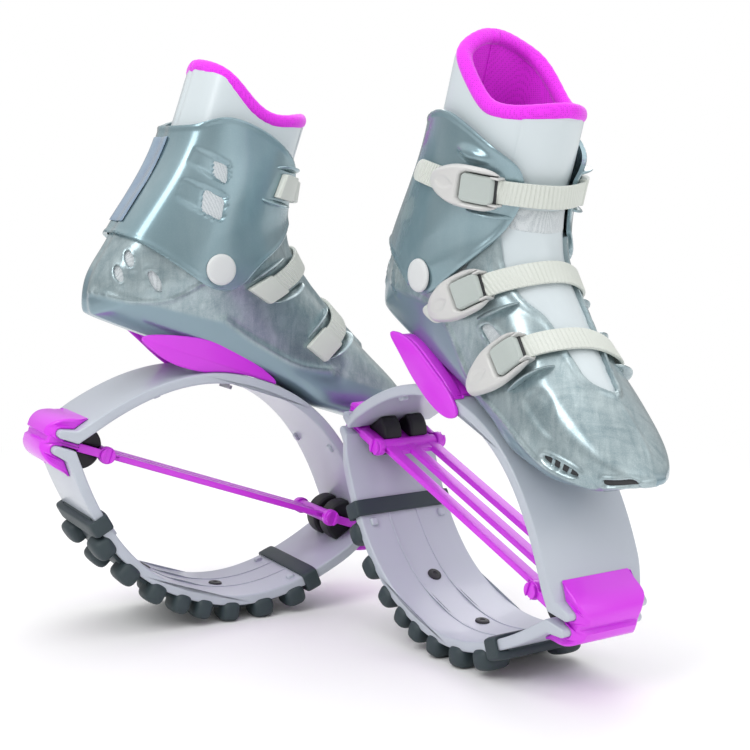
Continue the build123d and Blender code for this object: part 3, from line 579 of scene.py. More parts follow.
def shellBump(p):
    x, y, z = parts(p)
    side = p[..., [0, 2]]
    # rolled rim round the throat, higher on the inner side, and round the heel vents and cut-outs
    bump = np.where(y > 3, 2.8, 1.5) * smoothStep(throatInside(p), -5.5, -1.5)
    bump += 0.9 * smoothStep(ventInside(p), -4.0, -0.5) + 0.8 * smoothStep(cutInside(p), -3.5, -0.5)
    bump += 0.8 * smoothStep(toeSlotInside(p), -3.5, -0.5) + 0.9 * smoothStep(eyeInside(p), -4.5, -1.5)
    bump -= 1.1 * smoothStep(insideOutline(x, z, softCorners(lowerShell["dent"], 3)), -1.0, 5.0) * (y < -6)
    bump -= 1.6 * smoothStep(eyeInside(p), -0.5, 0.8)
    # moulded lines: the ridge on the outer side, the sweep and the heel line on the inner side, a crease down the toe
    bump += 1.3 * np.exp(-(lineDistance(side, ridgeLine) / 1.7) ** 2) * (y < -4)
    bump += 1.5 * np.exp(-(lineDistance(side, swooshLine) / 3.0) ** 2) * (y > 4)
    bump += 1.2 * np.exp(-(lineDistance(side, heelLine) / 1.5) ** 2) * (y > 4)
    bump += 0.7 * np.exp(-((y - 4) / 2.0) ** 2) * smoothStep(x, 94, 104) * (1 - smoothStep(x, 132, 142)) * (z > 100)
    return bump


def smoothBand(points):
    # 1 on the plain band under the moulded lines, 0 above them
    x, y, z = points.T
    outer = np.interp(x, ridgeLine[:, 0], ridgeLine[:, 1]) - z
    inner = np.interp(x, np.append(heelLine[:24, 0], swooshLine[:, 0]), np.append(heelLine[:24, 1], swooshLine[:, 1])) - z
    return np.where(y < 0, smoothStep(outer, 0, 2.5), smoothStep(inner, 0, 4))


print("form ready")


# Materials come first so that each piece can be given its own as it is made
def feed(tree, socket, value):
    # links an output into a socket, or sets a plain value on it
    if isinstance(value, bpy.types.NodeSocket):
        tree.links.new(value, socket)
    else:
        socket.default_value = value


def nodeOf(tree, kind, *into, **settings):
    # a node with its inputs fed in order or by name, and its own settings
    node = tree.nodes.new("ShaderNode" + kind)
    for key, value in settings.items():
        if hasattr(node, key):
            setattr(node, key, value)
        else:
            feed(tree, node.inputs[key.replace("_", " ")], value)
    for socket, value in zip(node.inputs, into):
        feed(tree, socket, value)
    return node


def mathOf(tree, operation, *into):
    # the result of one Math node
    return nodeOf(tree, "Math", *into, operation=operation).outputs[0]


def mixed(tree, factor, first, second):
    # a colour between two others
    mix = nodeOf(tree, "Mix", factor, data_type="RGBA")
    feed(tree, mix.inputs[6], first)
    feed(tree, mix.inputs[7], second)
    return mix.outputs[2]


def groupOf(name, inputs, outputs):
    # a shader group: its tree, what is given to it, what it puts out, and the place on the object
    g = bpy.data.node_groups.new(name, "ShaderNodeTree")
    for inOut, keys in (("INPUT", inputs), ("OUTPUT", outputs)):
        for key in keys:
            kind = "NodeSocketColor" if "Colour" in key else "NodeSocketFloat"
            g.interface.new_socket(name=key, in_out=inOut, socket_type=kind)
    place = nodeOf(g, "TexCoord").outputs["Object"]
    return g, g.nodes.new("NodeGroupInput").outputs, g.nodes.new("NodeGroupOutput").inputs, place


def driftGroup():
    # small-scale unevenness: a colour that drifts a little, a roughness that wanders and a height for bump
    g, given, out, place = groupOf("surfaceDrift", ("Colour", "Second Colour", "Drift Scale", "Drift Amount", "Grain Scale",
                                                    "Roughness Spread", "Roughness"), ("Colour", "Roughness", "Height"))
    drift = nodeOf(g, "TexNoise", Vector=place, Scale=given["Drift Scale"], Detail=5.0, Roughness=0.6).outputs["Fac"]
    grain = nodeOf(g, "TexNoise", Vector=place, Scale=given["Grain Scale"], Detail=3.0, Roughness=0.5).outputs["Fac"]
    amount = mathOf(g, "MULTIPLY", drift, given["Drift Amount"])
    feed(g, out["Colour"], mixed(g, amount, given["Colour"], given["Second Colour"]))
    feed(g, out["Roughness"], mathOf(g, "MULTIPLY_ADD", drift, given["Roughness Spread"], given["Roughness"]))
    feed(g, out["Height"], grain)
    return g


def streakGroup():
    # metal flake laid in streaks by the flow of the plastic: long soft bands, short ones across, and fine flakes
    g, given, out, place = groupOf("pearlStreaks", ("Dark Colour", "Light Colour", "Streak Scale", "Streak Strength",
                                                    "Flake Scale"), ("Colour", "Mask", "Height"))
    bands = []
    for scale, turn, detail in (((3.2, 1.2, 0.55), (0.5, 0.3, 0.6), 6.0), ((0.6, 3.0, 1.4), (0.2, -0.6, -0.4), 4.0)):
        along = nodeOf(g, "Mapping", Vector=place, Scale=scale, Rotation=turn).outputs[0]
        bands.append(nodeOf(g, "TexNoise", Vector=along, Scale=given["Streak Scale"], Detail=detail, Roughness=0.62,
                            Distortion=0.6).outputs["Fac"])
    ranged = nodeOf(g, "MapRange", mathOf(g, "MULTIPLY", *bands), From_Min=0.14, From_Max=0.40).outputs[0]
    flake = nodeOf(g, "TexVoronoi", feature="F1", Vector=place, Scale=given["Flake Scale"]).outputs["Distance"]
    mask = mathOf(g, "MULTIPLY_ADD", flake, 0.22, mathOf(g, "MULTIPLY", ranged, given["Streak Strength"]))
    feed(g, out["Colour"], mixed(g, mask, given["Dark Colour"], given["Light Colour"]))
    feed(g, out["Mask"], mask)
    feed(g, out["Height"], flake)
    return g


def meshGroup():
    # open mesh cloth: rounded holes set close together, darker than the thread between them
    g, given, out, place = groupOf("openMesh", ("Thread Colour", "Hole Colour", "Hole Scale", "Hole Size"),
                                   ("Colour", "Height"))
    cell = nodeOf(g, "TexVoronoi", feature="F1", Vector=place, Scale=given["Hole Scale"], Randomness=0.25).outputs["Distance"]
    hole = mathOf(g, "LESS_THAN", cell, given["Hole Size"])
    feed(g, out["Colour"], mixed(g, hole, given["Thread Colour"], given["Hole Colour"]))
    feed(g, out["Height"], cell)
    return g


groups = {"drift": driftGroup(), "streaks": streakGroup(), "mesh": meshGroup()}
# for each finish: the record's slot, the group, its two colours, its numbers in the order of its sockets, bump strength and
# depth, roughness, and what is set on the shader itself; trim is the colour where the mesh's trim value is 1
finishes = {
    "silverShell": ("shell_plastic", "streaks", (0.20, 0.28, 0.31), (0.66, 0.76, 0.77), (42.0, 0.42, 1400.0),
                    0.05, 0.0002, 0.30,
                    {"Metallic": 0.62, "Coat Weight": 0.5, "Coat Roughness": 0.08, "trim": (0.24, 0.34, 0.39)}),
    "blueSilverCuff": ("cuff_plastic", "streaks", (0.20, 0.31, 0.35), (0.40, 0.52, 0.56), (9.0, 0.35, 1600.0),
                       0.03, 0.0002, 0.27,
                       {"Metallic": 0.60, "Coat Weight": 0.6, "Coat Roughness": 0.06}),
    "leafPlastic": ("leaf_plastic", "drift", (0.46, 0.50, 0.56), (0.56, 0.59, 0.66), (9.0, 0.5, 1500.0, 0.10),
                    0.06, 0.0002, 0.28,
                    {"Coat Weight": 0.15}),
    "magentaPlastic": ("magenta_plastic", "drift", (0.66, 0.030, 0.78), (0.76, 0.055, 0.88), (14.0, 0.5, 1700.0, 0.08), 0.05,
                       0.0002, 0.30, {"Coat Weight": 0.25}),
    "bumperRubber": ("bumper_rubber", "drift", (0.006, 0.006, 0.008), (0.014, 0.014, 0.017), (30.0, 0.5, 900.0, 0.15), 0.25,
                     0.0004, 0.45, {}),
    "treadRubber": ("tread_rubber", "drift", (0.024, 0.040, 0.047), (0.042, 0.063, 0.070), (40.0, 0.5, 1100.0, 0.15), 0.3,
                    0.0004, 0.48, {}),
    "ivoryStrap": ("strap_plastic", "drift", (0.62, 0.65, 0.60), (0.74, 0.77, 0.72), (22.0, 0.5, 1800.0, 0.08), 0.05, 0.0002,
                   0.35, {}),
    "warmWhiteLever": ("lever_plastic", "drift", (0.58, 0.58, 0.57), (0.68, 0.68, 0.67), (12.0, 0.5, 1800.0, 0.06), 0.03,
                       0.0002, 0.26, {"Coat Weight": 0.3}),
    "paleTab": ("tab_plastic", "drift", (0.44, 0.49, 0.47), (0.54, 0.59, 0.56), (25.0, 0.5, 2000.0, 0.08), 0.06, 0.0002, 0.38,
                {"Metallic": 0.1}),
    "whiteCap": ("white_plastic", "drift", (0.66, 0.68, 0.68), (0.74, 0.76, 0.76), (16.0, 0.5, 1800.0, 0.08), 0.03, 0.0002,
                 0.35, {}),
    "linerWhite": ("liner_fabric", "drift", (0.60, 0.67, 0.70), (0.74, 0.80, 0.82), (9.0, 0.5, 1400.0, 0.12), 0.12, 0.0003,
                   0.32, {"Coat Weight": 0.2}),
    "linerMesh": ("liner_fabric", "mesh", (0.66, 0.70, 0.72), (0.36, 0.41, 0.44), (1300.0, 0.36), 0.5, 0.0005, 0.75,
                  {"Sheen Weight": 0.2}),
    "liningMesh": ("lining_fabric", "mesh", (0.84, 0.03, 0.86), (0.60, 0.015, 0.64), (700.0, 0.34), 0.4, 0.0005, 0.80,
                   {"Sheen Weight": 0.35, "Sheen Roughness": 0.4}),
    "milkyBlue": ("translucent_plastic", "drift", (0.05, 0.11, 0.26), (0.36, 0.48, 0.55), (30.0, 1.0, 500.0, 0.1),
                  0.05, 0.0003,
                  0.12, {"Coat Weight": 0.6}),
    # dark plastic for the sole plugs, and painted shade in the toe slot, the eye slot and under the buckle tabs
    "darkPlastic": ("dark_plastic", "drift", (0.020, 0.022, 0.025), (0.04, 0.04, 0.045), (30.0, 0.5, 1200.0, 0.15),
                    0.2, 0.0003,
                    0.45, {}),
    "platedSteel": ("steel", "drift", (0.45, 0.45, 0.46), (0.60, 0.60, 0.60), (60.0, 0.5, 2500.0, 0.15), 0.1, 0.0002, 0.30,
                    {"Metallic": 1.0}),
    "insoleFoam": ("foam_fabric", "mesh", (0.35, 0.35, 0.38), (0.16, 0.16, 0.18), (500.0, 0.35), 0.4, 0.0006, 0.9, {})}
materials = {}
for name, (slot, group, first, second, numbers, bump, depth, roughness, onShader) in finishes.items():
    material = materials[name] = bpy.data.materials.new(name)
    material.use_nodes = True
    tree = material.node_tree
    shader = tree.nodes["Principled BSDF"].inputs
    effect = nodeOf(tree, "Group", node_tree=groups[group])
    for socket, value in zip(effect.inputs, ((*first, 1.0), (*second, 1.0), *numbers)):
        socket.default_value = value
    colour = effect.outputs["Colour"]
    if "trim" in onShader:
        trim = nodeOf(tree, "Attribute", attribute_name="trim").outputs["Fac"]
        colour = mixed(tree, trim, colour, (*onShader["trim"], 1.0))
    feed(tree, shader["Base Color"], colour)
    if group == "drift":
        effect.inputs["Roughness"].default_value = roughness
        roughness = effect.outputs["Roughness"]
    feed(tree, shader["Roughness"], roughness)
    raised = nodeOf(tree, "Bump", Strength=bump, Distance=depth, Height=effect.outputs["Height"])
    feed(tree, shader["Normal"], raised.outputs["Normal"])
    for key in onShader.keys() - {"trim"}:
        shader[key].default_value = onShader[key]
print("materials ready")

# Lower shell
shellPiece = bootSkin(-lowerShell["wall"], 0, shellInside, shellBump, nose=True, rows=270, columns=232)
setDown("lowerShell", *shellPiece, "silverShell", ["lower_shell"], "boot", mark=smoothBand(shellPiece[0]))
setDown("shellMesh", *bootSkin(-2.78, -1.9, lambda p: np.maximum(cutInside(p), ventInside(p)) + 2.2,
                 edge=0.3), "linerMesh", (), "boot")
# a dark sheet behind the toe slot and the eye slot: painted shade in the openings
setDown("toeSlotBack", *bootSkin(-2.78, -2.0, lambda p: np.maximum(toeSlotInside(p), eyeInside(p)) + 2.0,
                 edge=0.3, nose=True), "darkPlastic", (), "boot")
print("lower shell", len(shellPiece[0]))

# Cuff: an outline for each side, mouth at the front, slanted windows in sunk panels, room for the middle strap
cuff = {"low": 1.8, "high": 4.6, "mouthHalf": 20.5, "mouthShift": 4.0, "strapRoom": 12.25,
        "outer": ((-207, 173), (-132, 164), (-109, 157), (-92, 154), (-74, 148.5), (-59, 151), (-45, 168), (-28, 193), (-18.5, 214),
                  (-16.5, 234), (-19, 256), (-25, 267), (-47.7, 275), (-86.8, 280), (-104, 276), (-130, 255), (-207, 253)),
        "inner": ((-207, 173), (-142.5, 165.5), (-125.9, 162), (-101.8, 155), (-67.8, 145), (-48, 152), (-35, 179), (-16, 203.7),
                  (-10.5, 227), (-17, 258), (-52, 275.5), (-85.4, 279), (-104, 275), (-128, 255), (-207, 253)),
        "windows": (((-98.5, 241.5), (-86.6, 240.5), (-83.5, 227.5), (-94.6, 228.8)),
                    ((-99.7, 217.8), (-82.0, 215.5), (-79.4, 198.5), (-96.7, 200.8))),
        "panels": (((-115, 246.5), (-86.2, 243.3), (-82.6, 226.5), (-117, 232)),
                   ((-117, 221.6), (-80.0, 217.9), (-78.5, 196.5), (-118, 203))),
        "boss": (-52.0, 261.0), "bossLength": 36.0, "bossHeight": 13.0}
straps = {"top": {"crown": (-0.034, 0.685), "lean": 81.1, "turn": 0.0, "inner": -0.128, "outer": -0.405,
                  "fork": (-0.084, -0.673, 0.682), "tip": (-0.264, -1.083, 0.641), "carrier": 4.6, "body": "ankle_cuff"},
          "middle": {"crown": (0.032, 0.478), "lean": 44.1, "turn": -4.1, "inner": -0.245, "outer": -0.385,
                     "fork": (-0.027, -0.825, 0.408), "tip": (-0.167, -1.071, 0.241), "carrier": 0.0, "body": "boot"},
          "toe": {"crown": (0.181, 0.355), "lean": 31.4, "turn": -9.4, "inner": -0.195, "outer": -0.240,
                  "fork": (0.142, -0.702, 0.311), "tip": (0.030, -1.021, 0.106), "carrier": 0.0, "body": "boot"}}
strapSize = {"width": 16.5, "thick": 2.4, "under": 2.7, "reach": 24,
             "toothPitch": 3.1, "toothHeight": 0.7, "anchorLength": 22.0,
             "anchorWidth": 20.0}


def strapAxes(name):
    # where a strap crosses the crown line, and its axes, turned by its lean and then its turn
    x, z = sidePoint(*straps[name]["crown"])
    return np.array([x, 0, z]), turnY(straps[name]["lean"]) @ turnZ(straps[name]["turn"])


def cuffBorder(p):
    # the outer side's border passes into the inner side's over the middle 24 mm
    x, y, z = parts(p)
    outer, inner = [insideOutline(x, z, softCorners(cuff[key], 3)) for key in ("outer", "inner")]
    share = smoothStep(y, -12, 12)
    return outer * (1 - share) + inner * share


def cuffInside(p):
    # the border less the mouth in front, the windows and the room for the middle strap
    x, y, z = parts(p)
    keep = cuffBorder(p)
    keep = np.minimum(keep, np.where(x > rivetAt[0], np.abs(y - cuff["mouthShift"]) - cuff["mouthHalf"], 50))
    for hole in cuff["windows"]:
        keep = np.minimum(keep, np.where(y > 8, -insideOutline(x, z, softCorners(hole, 2, 0.12)), keep))
    origin, axes = strapAxes("middle")
    local = (p - origin) @ axes
    return np.minimum(keep, np.where(local[..., 2] < 0, np.abs(local[..., 0]) - cuff["strapRoom"], 50))


def cuffBump(p):
    x, y, z = parts(p)
    origin, axes = strapAxes("middle")
    clear = smoothStep(np.abs(((p - origin) @ axes)[..., 0]), 20, 27)
    bump = 0.8 * (1 - smoothStep(cuffBorder(p), 1.5, 4.0)) * np.where(z < 230, clear, 1)
    for panel in cuff["panels"]:
        # a panel that sinks towards its window
        sunk = smoothStep(insideOutline(x, z, softCorners(panel, 2, 0.08)), 0.0, 0.9) * (0.3 + 0.7 * smoothStep(x, -119, -95))
        bump -= 2.3 * sunk * (y > 8)
    boss = insideOval(x, z, cuff["boss"], cuff["bossLength"], cuff["bossHeight"], 2.0)
    return bump + 3.0 * smoothStep(boss, 0, 5.0) * (y < -8)


cuffPiece = bootSkin(cuff["low"], cuff["high"], cuffInside, cuffBump, rows=330, columns=270)
setDown("ankleCuff", *cuffPiece, "blueSilverCuff", ["cuff"], "ankle_cuff")
setDown("cuffMesh", *bootSkin(cuff["low"] - 0.9, cuff["low"] + 0.05, lambda p: np.where(p[..., 1] > 8, np.maximum.reduce(
    [insideOutline(p[..., 0], p[..., 2], np.array(hole)) for hole in cuff["windows"]]) + 2.0, -9.0), edge=0.3),
        "linerMesh", (), "ankle_cuff")
print("cuff", len(cuffPiece[0]))


def patchOver(name, offset, across, columns=75):
    # the boot surface in a strap's coordinates: for each place across its width, a line round the boot
    grid = bootGrid(offset)
    origin, axes = strapAxes(name)
    number = grid.shape[1]
    chosen = np.arange(-columns, columns + 1) % number
    w = ((grid - origin) @ axes)[:, :, 0]
    out = np.empty((len(across), len(chosen), 3))
    rows = np.arange(grid.shape[0])
    for k, c in enumerate(chosen):
        at = np.interp(-np.asarray(across), -w[:, c], rows)
        for axis in range(3):
            out[:, k, axis] = np.interp(at, rows, grid[:, c, axis])
    return out


def strapPatch(name, offset, across, along):
    # the same surface with the line's length as the second parameter, 0 at the crown and positive to +y
    patch = patchOver(name, offset, across)
    middle = patch[len(across) // 2]
    half = len(middle) // 2
    run = np.concatenate([[0], np.cumsum(np.linalg.norm(np.diff(middle, axis=0), axis=1))])
    run = run[half] - run
    order = np.argsort(run)
    at = np.interp(along, run[order], order.astype(float))
    index = np.arange(len(middle))
    return np.stack([np.stack([np.interp(at, index, line[:, axis]) for axis in range(3)], -1) for line in patch])


def strapReach(name):
    # how far the strap runs from the crown on the inner side and on the buckle side
    origin, axes = strapAxes(name)
    across = np.array([-0.5, 0.0, 0.5])
    middle = patchOver(name, strapOffset(name), across)[1]
    half = len(middle) // 2
    run = np.concatenate([[0], np.cumsum(np.linalg.norm(np.diff(middle, axis=0), axis=1))])
    run = run[half] - run
    height = ((middle - origin) @ axes)[:, 2]
    inner = run[(height > straps[name]["inner"] * bootForm["height"]) & (run >= 0)].max()
    outer = run[(height > straps[name]["outer"] * bootForm["height"]) & (run <= 0)].min()
    return inner, outer


def strapOffset(name):
    # how far a strap's underside lies off the boot's form
    return straps[name]["carrier"] + strapSize["under"]


def bandPiece(name, widths, heights, along, base):
    # a closed cross-section carried round the boot: widths and heights are (places, section points)
    reach = strapSize["reach"]
    patch = strapPatch(name, base, np.linspace(-reach, reach, 2 * reach + 1), along)
    out = unit(np.cross(np.gradient(patch, axis=0), np.gradient(patch, axis=1)))
    middle = patch[reach]
    centre = np.array([middle[:, 0].mean() - 30, 0, middle[:, 2].mean() - 60])
    if (out[reach] * (middle - centre)).sum() < 0:
        out = -out
    at = np.clip(widths, -reach, reach) + reach
    i = np.clip(np.floor(at).astype(int), 0, 2 * reach - 1)
    t = (at - i)[..., None]
    k = np.arange(len(along))[:, None]
    place = patch[i, k] * (1 - t) + patch[i + 1, k] * t
    normal = out[i, k] * (1 - t) + out[i + 1, k] * t
    return closedTube(place + normal * heights[..., None])


def strapSection(half, thick, rounding=0.6):
    # a flat band's section with rounded corners, as (width, height) pairs
    a = np.linspace(0, np.pi / 2, 4)
    pairs = []
    for cw, ch, start in ((half - rounding, thick - rounding, 0), (-half + rounding, thick - rounding, np.pi / 2),
                          (-half + rounding, rounding, np.pi), (half - rounding, rounding, 1.5 * np.pi)):
        pairs += [(cw + rounding * np.cos(start + k), ch + rounding * np.sin(start + k)) for k in a]
    return np.array(pairs)


def strapPiece(name):
    inner, outer = strapReach(name)
    along = np.arange(outer, inner, 0.52)
    section = strapSection(strapSize["width"] / 2, strapSize["thick"])
    widths, heights = [np.repeat(section[None, :, k], len(along), 0) for k in (0, 1)]
    # teeth: a steep side and a sloping side; none near the two ends
    tooth = (along / strapSize["toothPitch"]) % 1.0
    rise = strapSize["toothHeight"] * (np.clip(tooth / 0.62, 0, 1) * np.clip((1 - tooth) / 0.16, 0, 1))
    seatFrom = inner - strapSize["anchorLength"]
    plain = smoothStep(along, outer + 5, outer + 9) * (1 - smoothStep(along, seatFrom - 3, seatFrom))
    upper = (section[:, 1] > strapSize["thick"] * 0.7) & (np.abs(section[:, 0]) < strapSize["width"] / 2 - 0.1)
    heights = heights + (rise * plain - strapSize["toothHeight"] * plain * 0.6)[:, None] * upper[None, :]
    # the buckle end narrows to a round tongue
    ending = np.clip((along - outer) / 7, 0, 1)
    widths = widths * (0.35 + 0.65 * np.sqrt(1 - (1 - ending) ** 2))[:, None]
    band = bandPiece(name, widths, heights, along, strapOffset(name))
    seatAlong = np.arange(seatFrom, inner + 0.1, 1.0)
    seat = strapSection(strapSize["anchorWidth"] / 2, strapSize["thick"] + strapSize["under"] + 0.5, 0.8)
    ends = np.minimum(seatAlong - seatAlong[0], seatAlong[-1] - seatAlong)
    lift = 1 - 0.25 * np.clip(1 - ends / 1.5, 0, 1) ** 2
    widths = seat[None, :, 0] * (1 - 0.06 * np.clip(1 - ends / 2.0, 0, 1) ** 2)[:, None]
    heights = seat[None, :, 1] * lift[:, None] - strapSize["under"] + 0.4
    return joined(band, bandPiece(name, widths, heights, seatAlong, strapOffset(name)))


for name in straps:
    setDown(name + "Strap", *strapPiece(name), "ivoryStrap", [name + "_strap"], straps[name]["body"])
print("straps")


def finPiece(name, side, sFrom, sTo, w, height=5.0, thick=1.8):
    # a guide lip beside a strap: a ridge whose height follows a half sine along its length and leans outwards
    along = np.linspace(sFrom, sTo, 40)
    u = (along - sFrom) / (sTo - sFrom)
    rise = height * np.sin(np.pi * u) ** 0.6 + 0.05
    body = thick * (0.35 + 0.65 * np.sin(np.pi * u) ** 0.5)
    a = np.linspace(0, np.pi, 9)
    sectionW, sectionH = np.cos(a), np.sin(a) ** 0.7
    widths = w + body[:, None] * sectionW[None, :] + side * 0.45 * rise[:, None] * sectionH[None, :]
    heights = -1.2 + (rise[:, None] + 1.2) * sectionH[None, :]
    widths = np.hstack([widths, (w + 0 * body)[:, None]])
    heights = np.hstack([heights, np.full((len(along), 1), -2.0)])
    return bandPiece(name, widths, heights, along, straps[name]["carrier"])


# lips: strap, side across the strap, from and to along it (positive towards +y), distance across, height
lips = {"shell": (("middle", 1, -76, -34, 17.2, 8.5), ("toe", 1, -72, -27, 17.2, 9.5),
                  ("middle", 1, 36, 74, 12.6, 7.5), ("middle", -1, 36, 72, -12.6, 7.0),
                  ("toe", 1, 26, 62, 12.6, 7.5), ("toe", -1, 26, 62, -12.6, 6.5)),
        "cuff": (("top", 1, 34, 68, 13.0, 6.5), ("top", -1, 34, 66, -13.5, 6.5), ("top", 1, -60, -28, 16.8, 3.5))}
setDown("shellLips", *joined(*[finPiece(*lip) for lip in lips["shell"]]), "silverShell", (), "boot")
setDown("cuffLips", *joined(*[finPiece(*lip) for lip in lips["cuff"]]), "blueSilverCuff", (), "ankle_cuff")
print("lips")

# Buckles: lever, release tab and a dark sheet under the tab as painted shade in the lever's window, all drawn on a plan
# over the boot's own curve
buckle = {"leverHalf": 15.0, "tipHalf": 4.5, "waist": 0.55, "thick": 3.8, "windowHalf": 10.6,
          "tabFrom": 4.3, "tabTo": 28.0, "tabHalf": 9.9, "tabThick": 2.0}


def leverOffset(name):
    # how far a lever's underside lies off the boot's form
    return strapOffset(name) + strapSize["thick"] + 0.35


def bucklePlane(name):
    # a buckle's origin at its fork, its axes, x towards the tip and z outwards, and its length
    origin, axes = strapAxes(name)
    ends = []
    for xs, ys, zs in (straps[name]["fork"], straps[name]["tip"]):
        x, z = sidePoint(xs, zs)
        p = np.array([x, ys * bootForm["halfWidth"], z])
        ends.append(p - axes[:, 0] * ((p - origin) @ axes[:, 0]))
    along = ends[1] - ends[0]
    out = np.cross(along, axes[:, 0])
    out = out if out[1] < 0 else -out
    xDir, zDir = unit(along), unit(out)
    return ends[0], np.stack([xDir, np.cross(zDir, xDir), zDir], 1), np.linalg.norm(along)


def heightOver(name, offset):
    # the boot's surface over the buckle's plan as a smooth polynomial in x and y
    origin, axes, length = bucklePlane(name)
    local = (bootGrid(offset).reshape(-1, 3) - origin) @ axes
    near = local[(local[:, 0] > -12) & (local[:, 0] < length + 10) & (np.abs(local[:, 1]) < 22) & (local[:, 2] > -25)]
    powers = [(i, j) for i in range(5) for j in range(4) if i + j < 6]
    terms = np.stack([(near[:, 0] / 30) ** i * (near[:, 1] / 20) ** j for i, j in powers], -1)
    fit = np.linalg.lstsq(terms, near[:, 2], rcond=None)[0]
    return lambda x, y: sum(f * (x / 30) ** i * (y / 20) ** j for f, (i, j) in zip(fit, powers))


def planSheet(name, x, y, low, high, inside):
    # the part of a plan where inside is positive, closed between a low and a high height at each place
    origin, axes = bucklePlane(name)[:2]
    inner, outer = [np.stack([x, y, z], -1) @ axes.T + origin for z in (low, high)]
    return outwardFacing(trimmed(outer, inner, inside))


def planGrid(xFrom, xTo, half, xStep, yStep):
    # places of a plan in even steps
    return np.meshgrid(np.arange(xFrom, xTo, xStep), np.arange(-half, half + 0.1, yStep), indexing="ij")


def leverPiece(name):
    # a spoon on the boot's own curve: its top rises over the edge like a quarter circle and swells before the tip
    length = bucklePlane(name)[2]
    height = heightOver(name, leverOffset(name))
    x, y = planGrid(-4, length + 3, 17, 0.8, 0.8)
    half, tip, waist = buckle["leverHalf"], buckle["tipHalf"], buckle["waist"] * length
    outline = softCorners([(-2.5, -half + 0.5), (waist, -half - 0.3), (length * 0.86, -2.1 * tip), (length + 1, -tip * 0.9),
                           (length + 1, tip * 1.1), (length * 0.84, 2.3 * tip), (waist, half + 0.3), (-2.5, half - 0.5)], 3)
    border = insideOutline(x, y, outline)
    window = softCorners(rectangle(-9, buckle["tabTo"] + 1.2, buckle["windowHalf"]), 3, 0.12)
    inside = np.minimum(border, -insideOutline(x, y, window))
    low = height(x, y)
    swell = 1.0 + 0.45 * smoothStep(x, 0.30 * length, 0.62 * length) * (1 - smoothStep(x, 0.8 * length, length + 2))
    # a leaf-shaped hollow near the tip
    u = (x - 0.74 * length) / (0.17 * length)
    leaf = (1 - u**2) * 4.6 - np.abs(y)
    hollow = 0.9 * smoothStep(leaf, -0.4, 2.2) * (np.abs(u) < 1.1)
    high = low + 0.5 + (buckle["thick"] * swell - 0.5) * roundedEdge(inside, 2.6) - hollow
    return planSheet(name, x, y, low, high, inside)


def tabPiece(name):
    # a rounded rectangle whose top rises over its edge like a quarter circle, with a fine rim
    height = heightOver(name, leverOffset(name) + 1.2)
    x, y = planGrid(4, 31, 12, 0.7, 0.7)
    outline = softCorners(rectangle(buckle["tabFrom"], buckle["tabTo"], buckle["tabHalf"]), 3, 0.10)
    inside = insideOutline(x, y, outline)
    rim = 0.30 * (1 - smoothStep(inside, 1.5, 2.3))
    low = height(x, y)
    return planSheet(name, x, y, low, low + 0.4 + (buckle["tabThick"] + 0.7) * roundedEdge(inside, 1.1) + rim, inside)


def shadeWellPiece(name):
    # a thin dark sheet under the lever's window: painted shade round the tab
    height = heightOver(name, leverOffset(name) - 0.2)
    x, y = planGrid(2, 32, 13, 1.0, 1.0)
    inside = insideOutline(x, y, rectangle(3, 30.2, 11.6))
    low = height(x, y)
    return planSheet(name, x, y, low, low + 0.9, inside)


for name in straps:
    setDown(name + "Lever", *leverPiece(name), "warmWhiteLever", [name + "_buckle_lever"], name + "_lever")
    setDown(name + "Tab", *tabPiece(name), "paleTab", [name + "_release_tab"], name + "_tab")
    setDown(name + "Well", *shadeWellPiece(name), "darkPlastic", (), straps[name]["body"])
print("buckles")

# Springs: two leaves, the end caps that hook over their beads, the bars and pins between the caps, and the bumpers
spring = {"pinX": 101.9, "pin": 3.0, "knob": 6.2, "barrel": 5.3, "eye": 6.8, "armThick": 5.4, "armHigh": 6.6, "armTo": 126.0,
          "capHalf": 31.0, "plateHalf": 2.0, "webHalf": 3.0, "rootX": 138.6, "grooveX": 150.4, "groove": 1.6,
          "tip": (134.2, 20.6), "back": (146.6, 16.2), "shoulder": (153.4, 8.2), "noseX": 155.2, "noseFrom": 143.0,
          "bumperX": 121.5, "bumper": 17.5, "bumperWide": 16.5, "bumperRow": 12.5, "barWide": 10.0, "barThick": 5.0,
          "loopX": 95.6, "plugX": 34.5}


def leafCurve(x, rise=leafForm["rise"], span=leafForm["span"]):
    # height falls from the rise to nothing at the span by a power a little over two
    return rise * (1 - np.abs(x / span) ** leafForm["power"])


def leafReach(z, rise=leafForm["rise"], span=leafForm["span"]):
    # where the leaf's curve has a height: its formula solved for x
    return span * (1 - z / rise) ** (1 / leafForm["power"])


def leafLine(rise, span, reach, count=150):
    # points of the leaf's curve, closer together towards the ends by a sine
    x = reach * np.sin(np.linspace(-np.pi / 2, np.pi / 2, count))
    return np.stack([x, leafCurve(x, rise, span)], -1)


def leafOutline(grow=0.0):
    # outer curve, round bead, inner curve and the other bead, all grown by one distance
    bead, rise, span = leafForm["bead"] + grow, leafForm["rise"] + grow, leafForm["span"] + grow
    inRise, inSpan = leafForm["rise"] - leafForm["thick"] - grow, leafForm["span"] - leafForm["endThick"] - grow
    outer = leafLine(rise, span, leafReach(leafForm["beadZ"] + bead + 2.2, rise, span))
    inner = leafLine(inRise, inSpan, leafReach(leafForm["beadZ"] - bead, inRise, inSpan))
    a = np.linspace(np.pi / 2, -np.pi / 2, 12)
    end = np.stack([leafForm["beadX"] + bead * np.cos(a), leafForm["beadZ"] + bead * np.sin(a)], -1)
    return np.vstack([outer, end, inner[::-1], (end * [-1, 1])[::-1]])


def leafFrame(x, inside=0.0):
    # the place and the 3 by 3 turn of a frame on the leaf's outer curve: x along the leaf, z outwards
    slope = np.arctan2(leafCurve(x + 0.1) - leafCurve(x), 0.1)
    turned = turnY(-np.degrees(slope))
    return np.array([x, 0, leafCurve(x)]) - turned[:, 2] * inside, turned


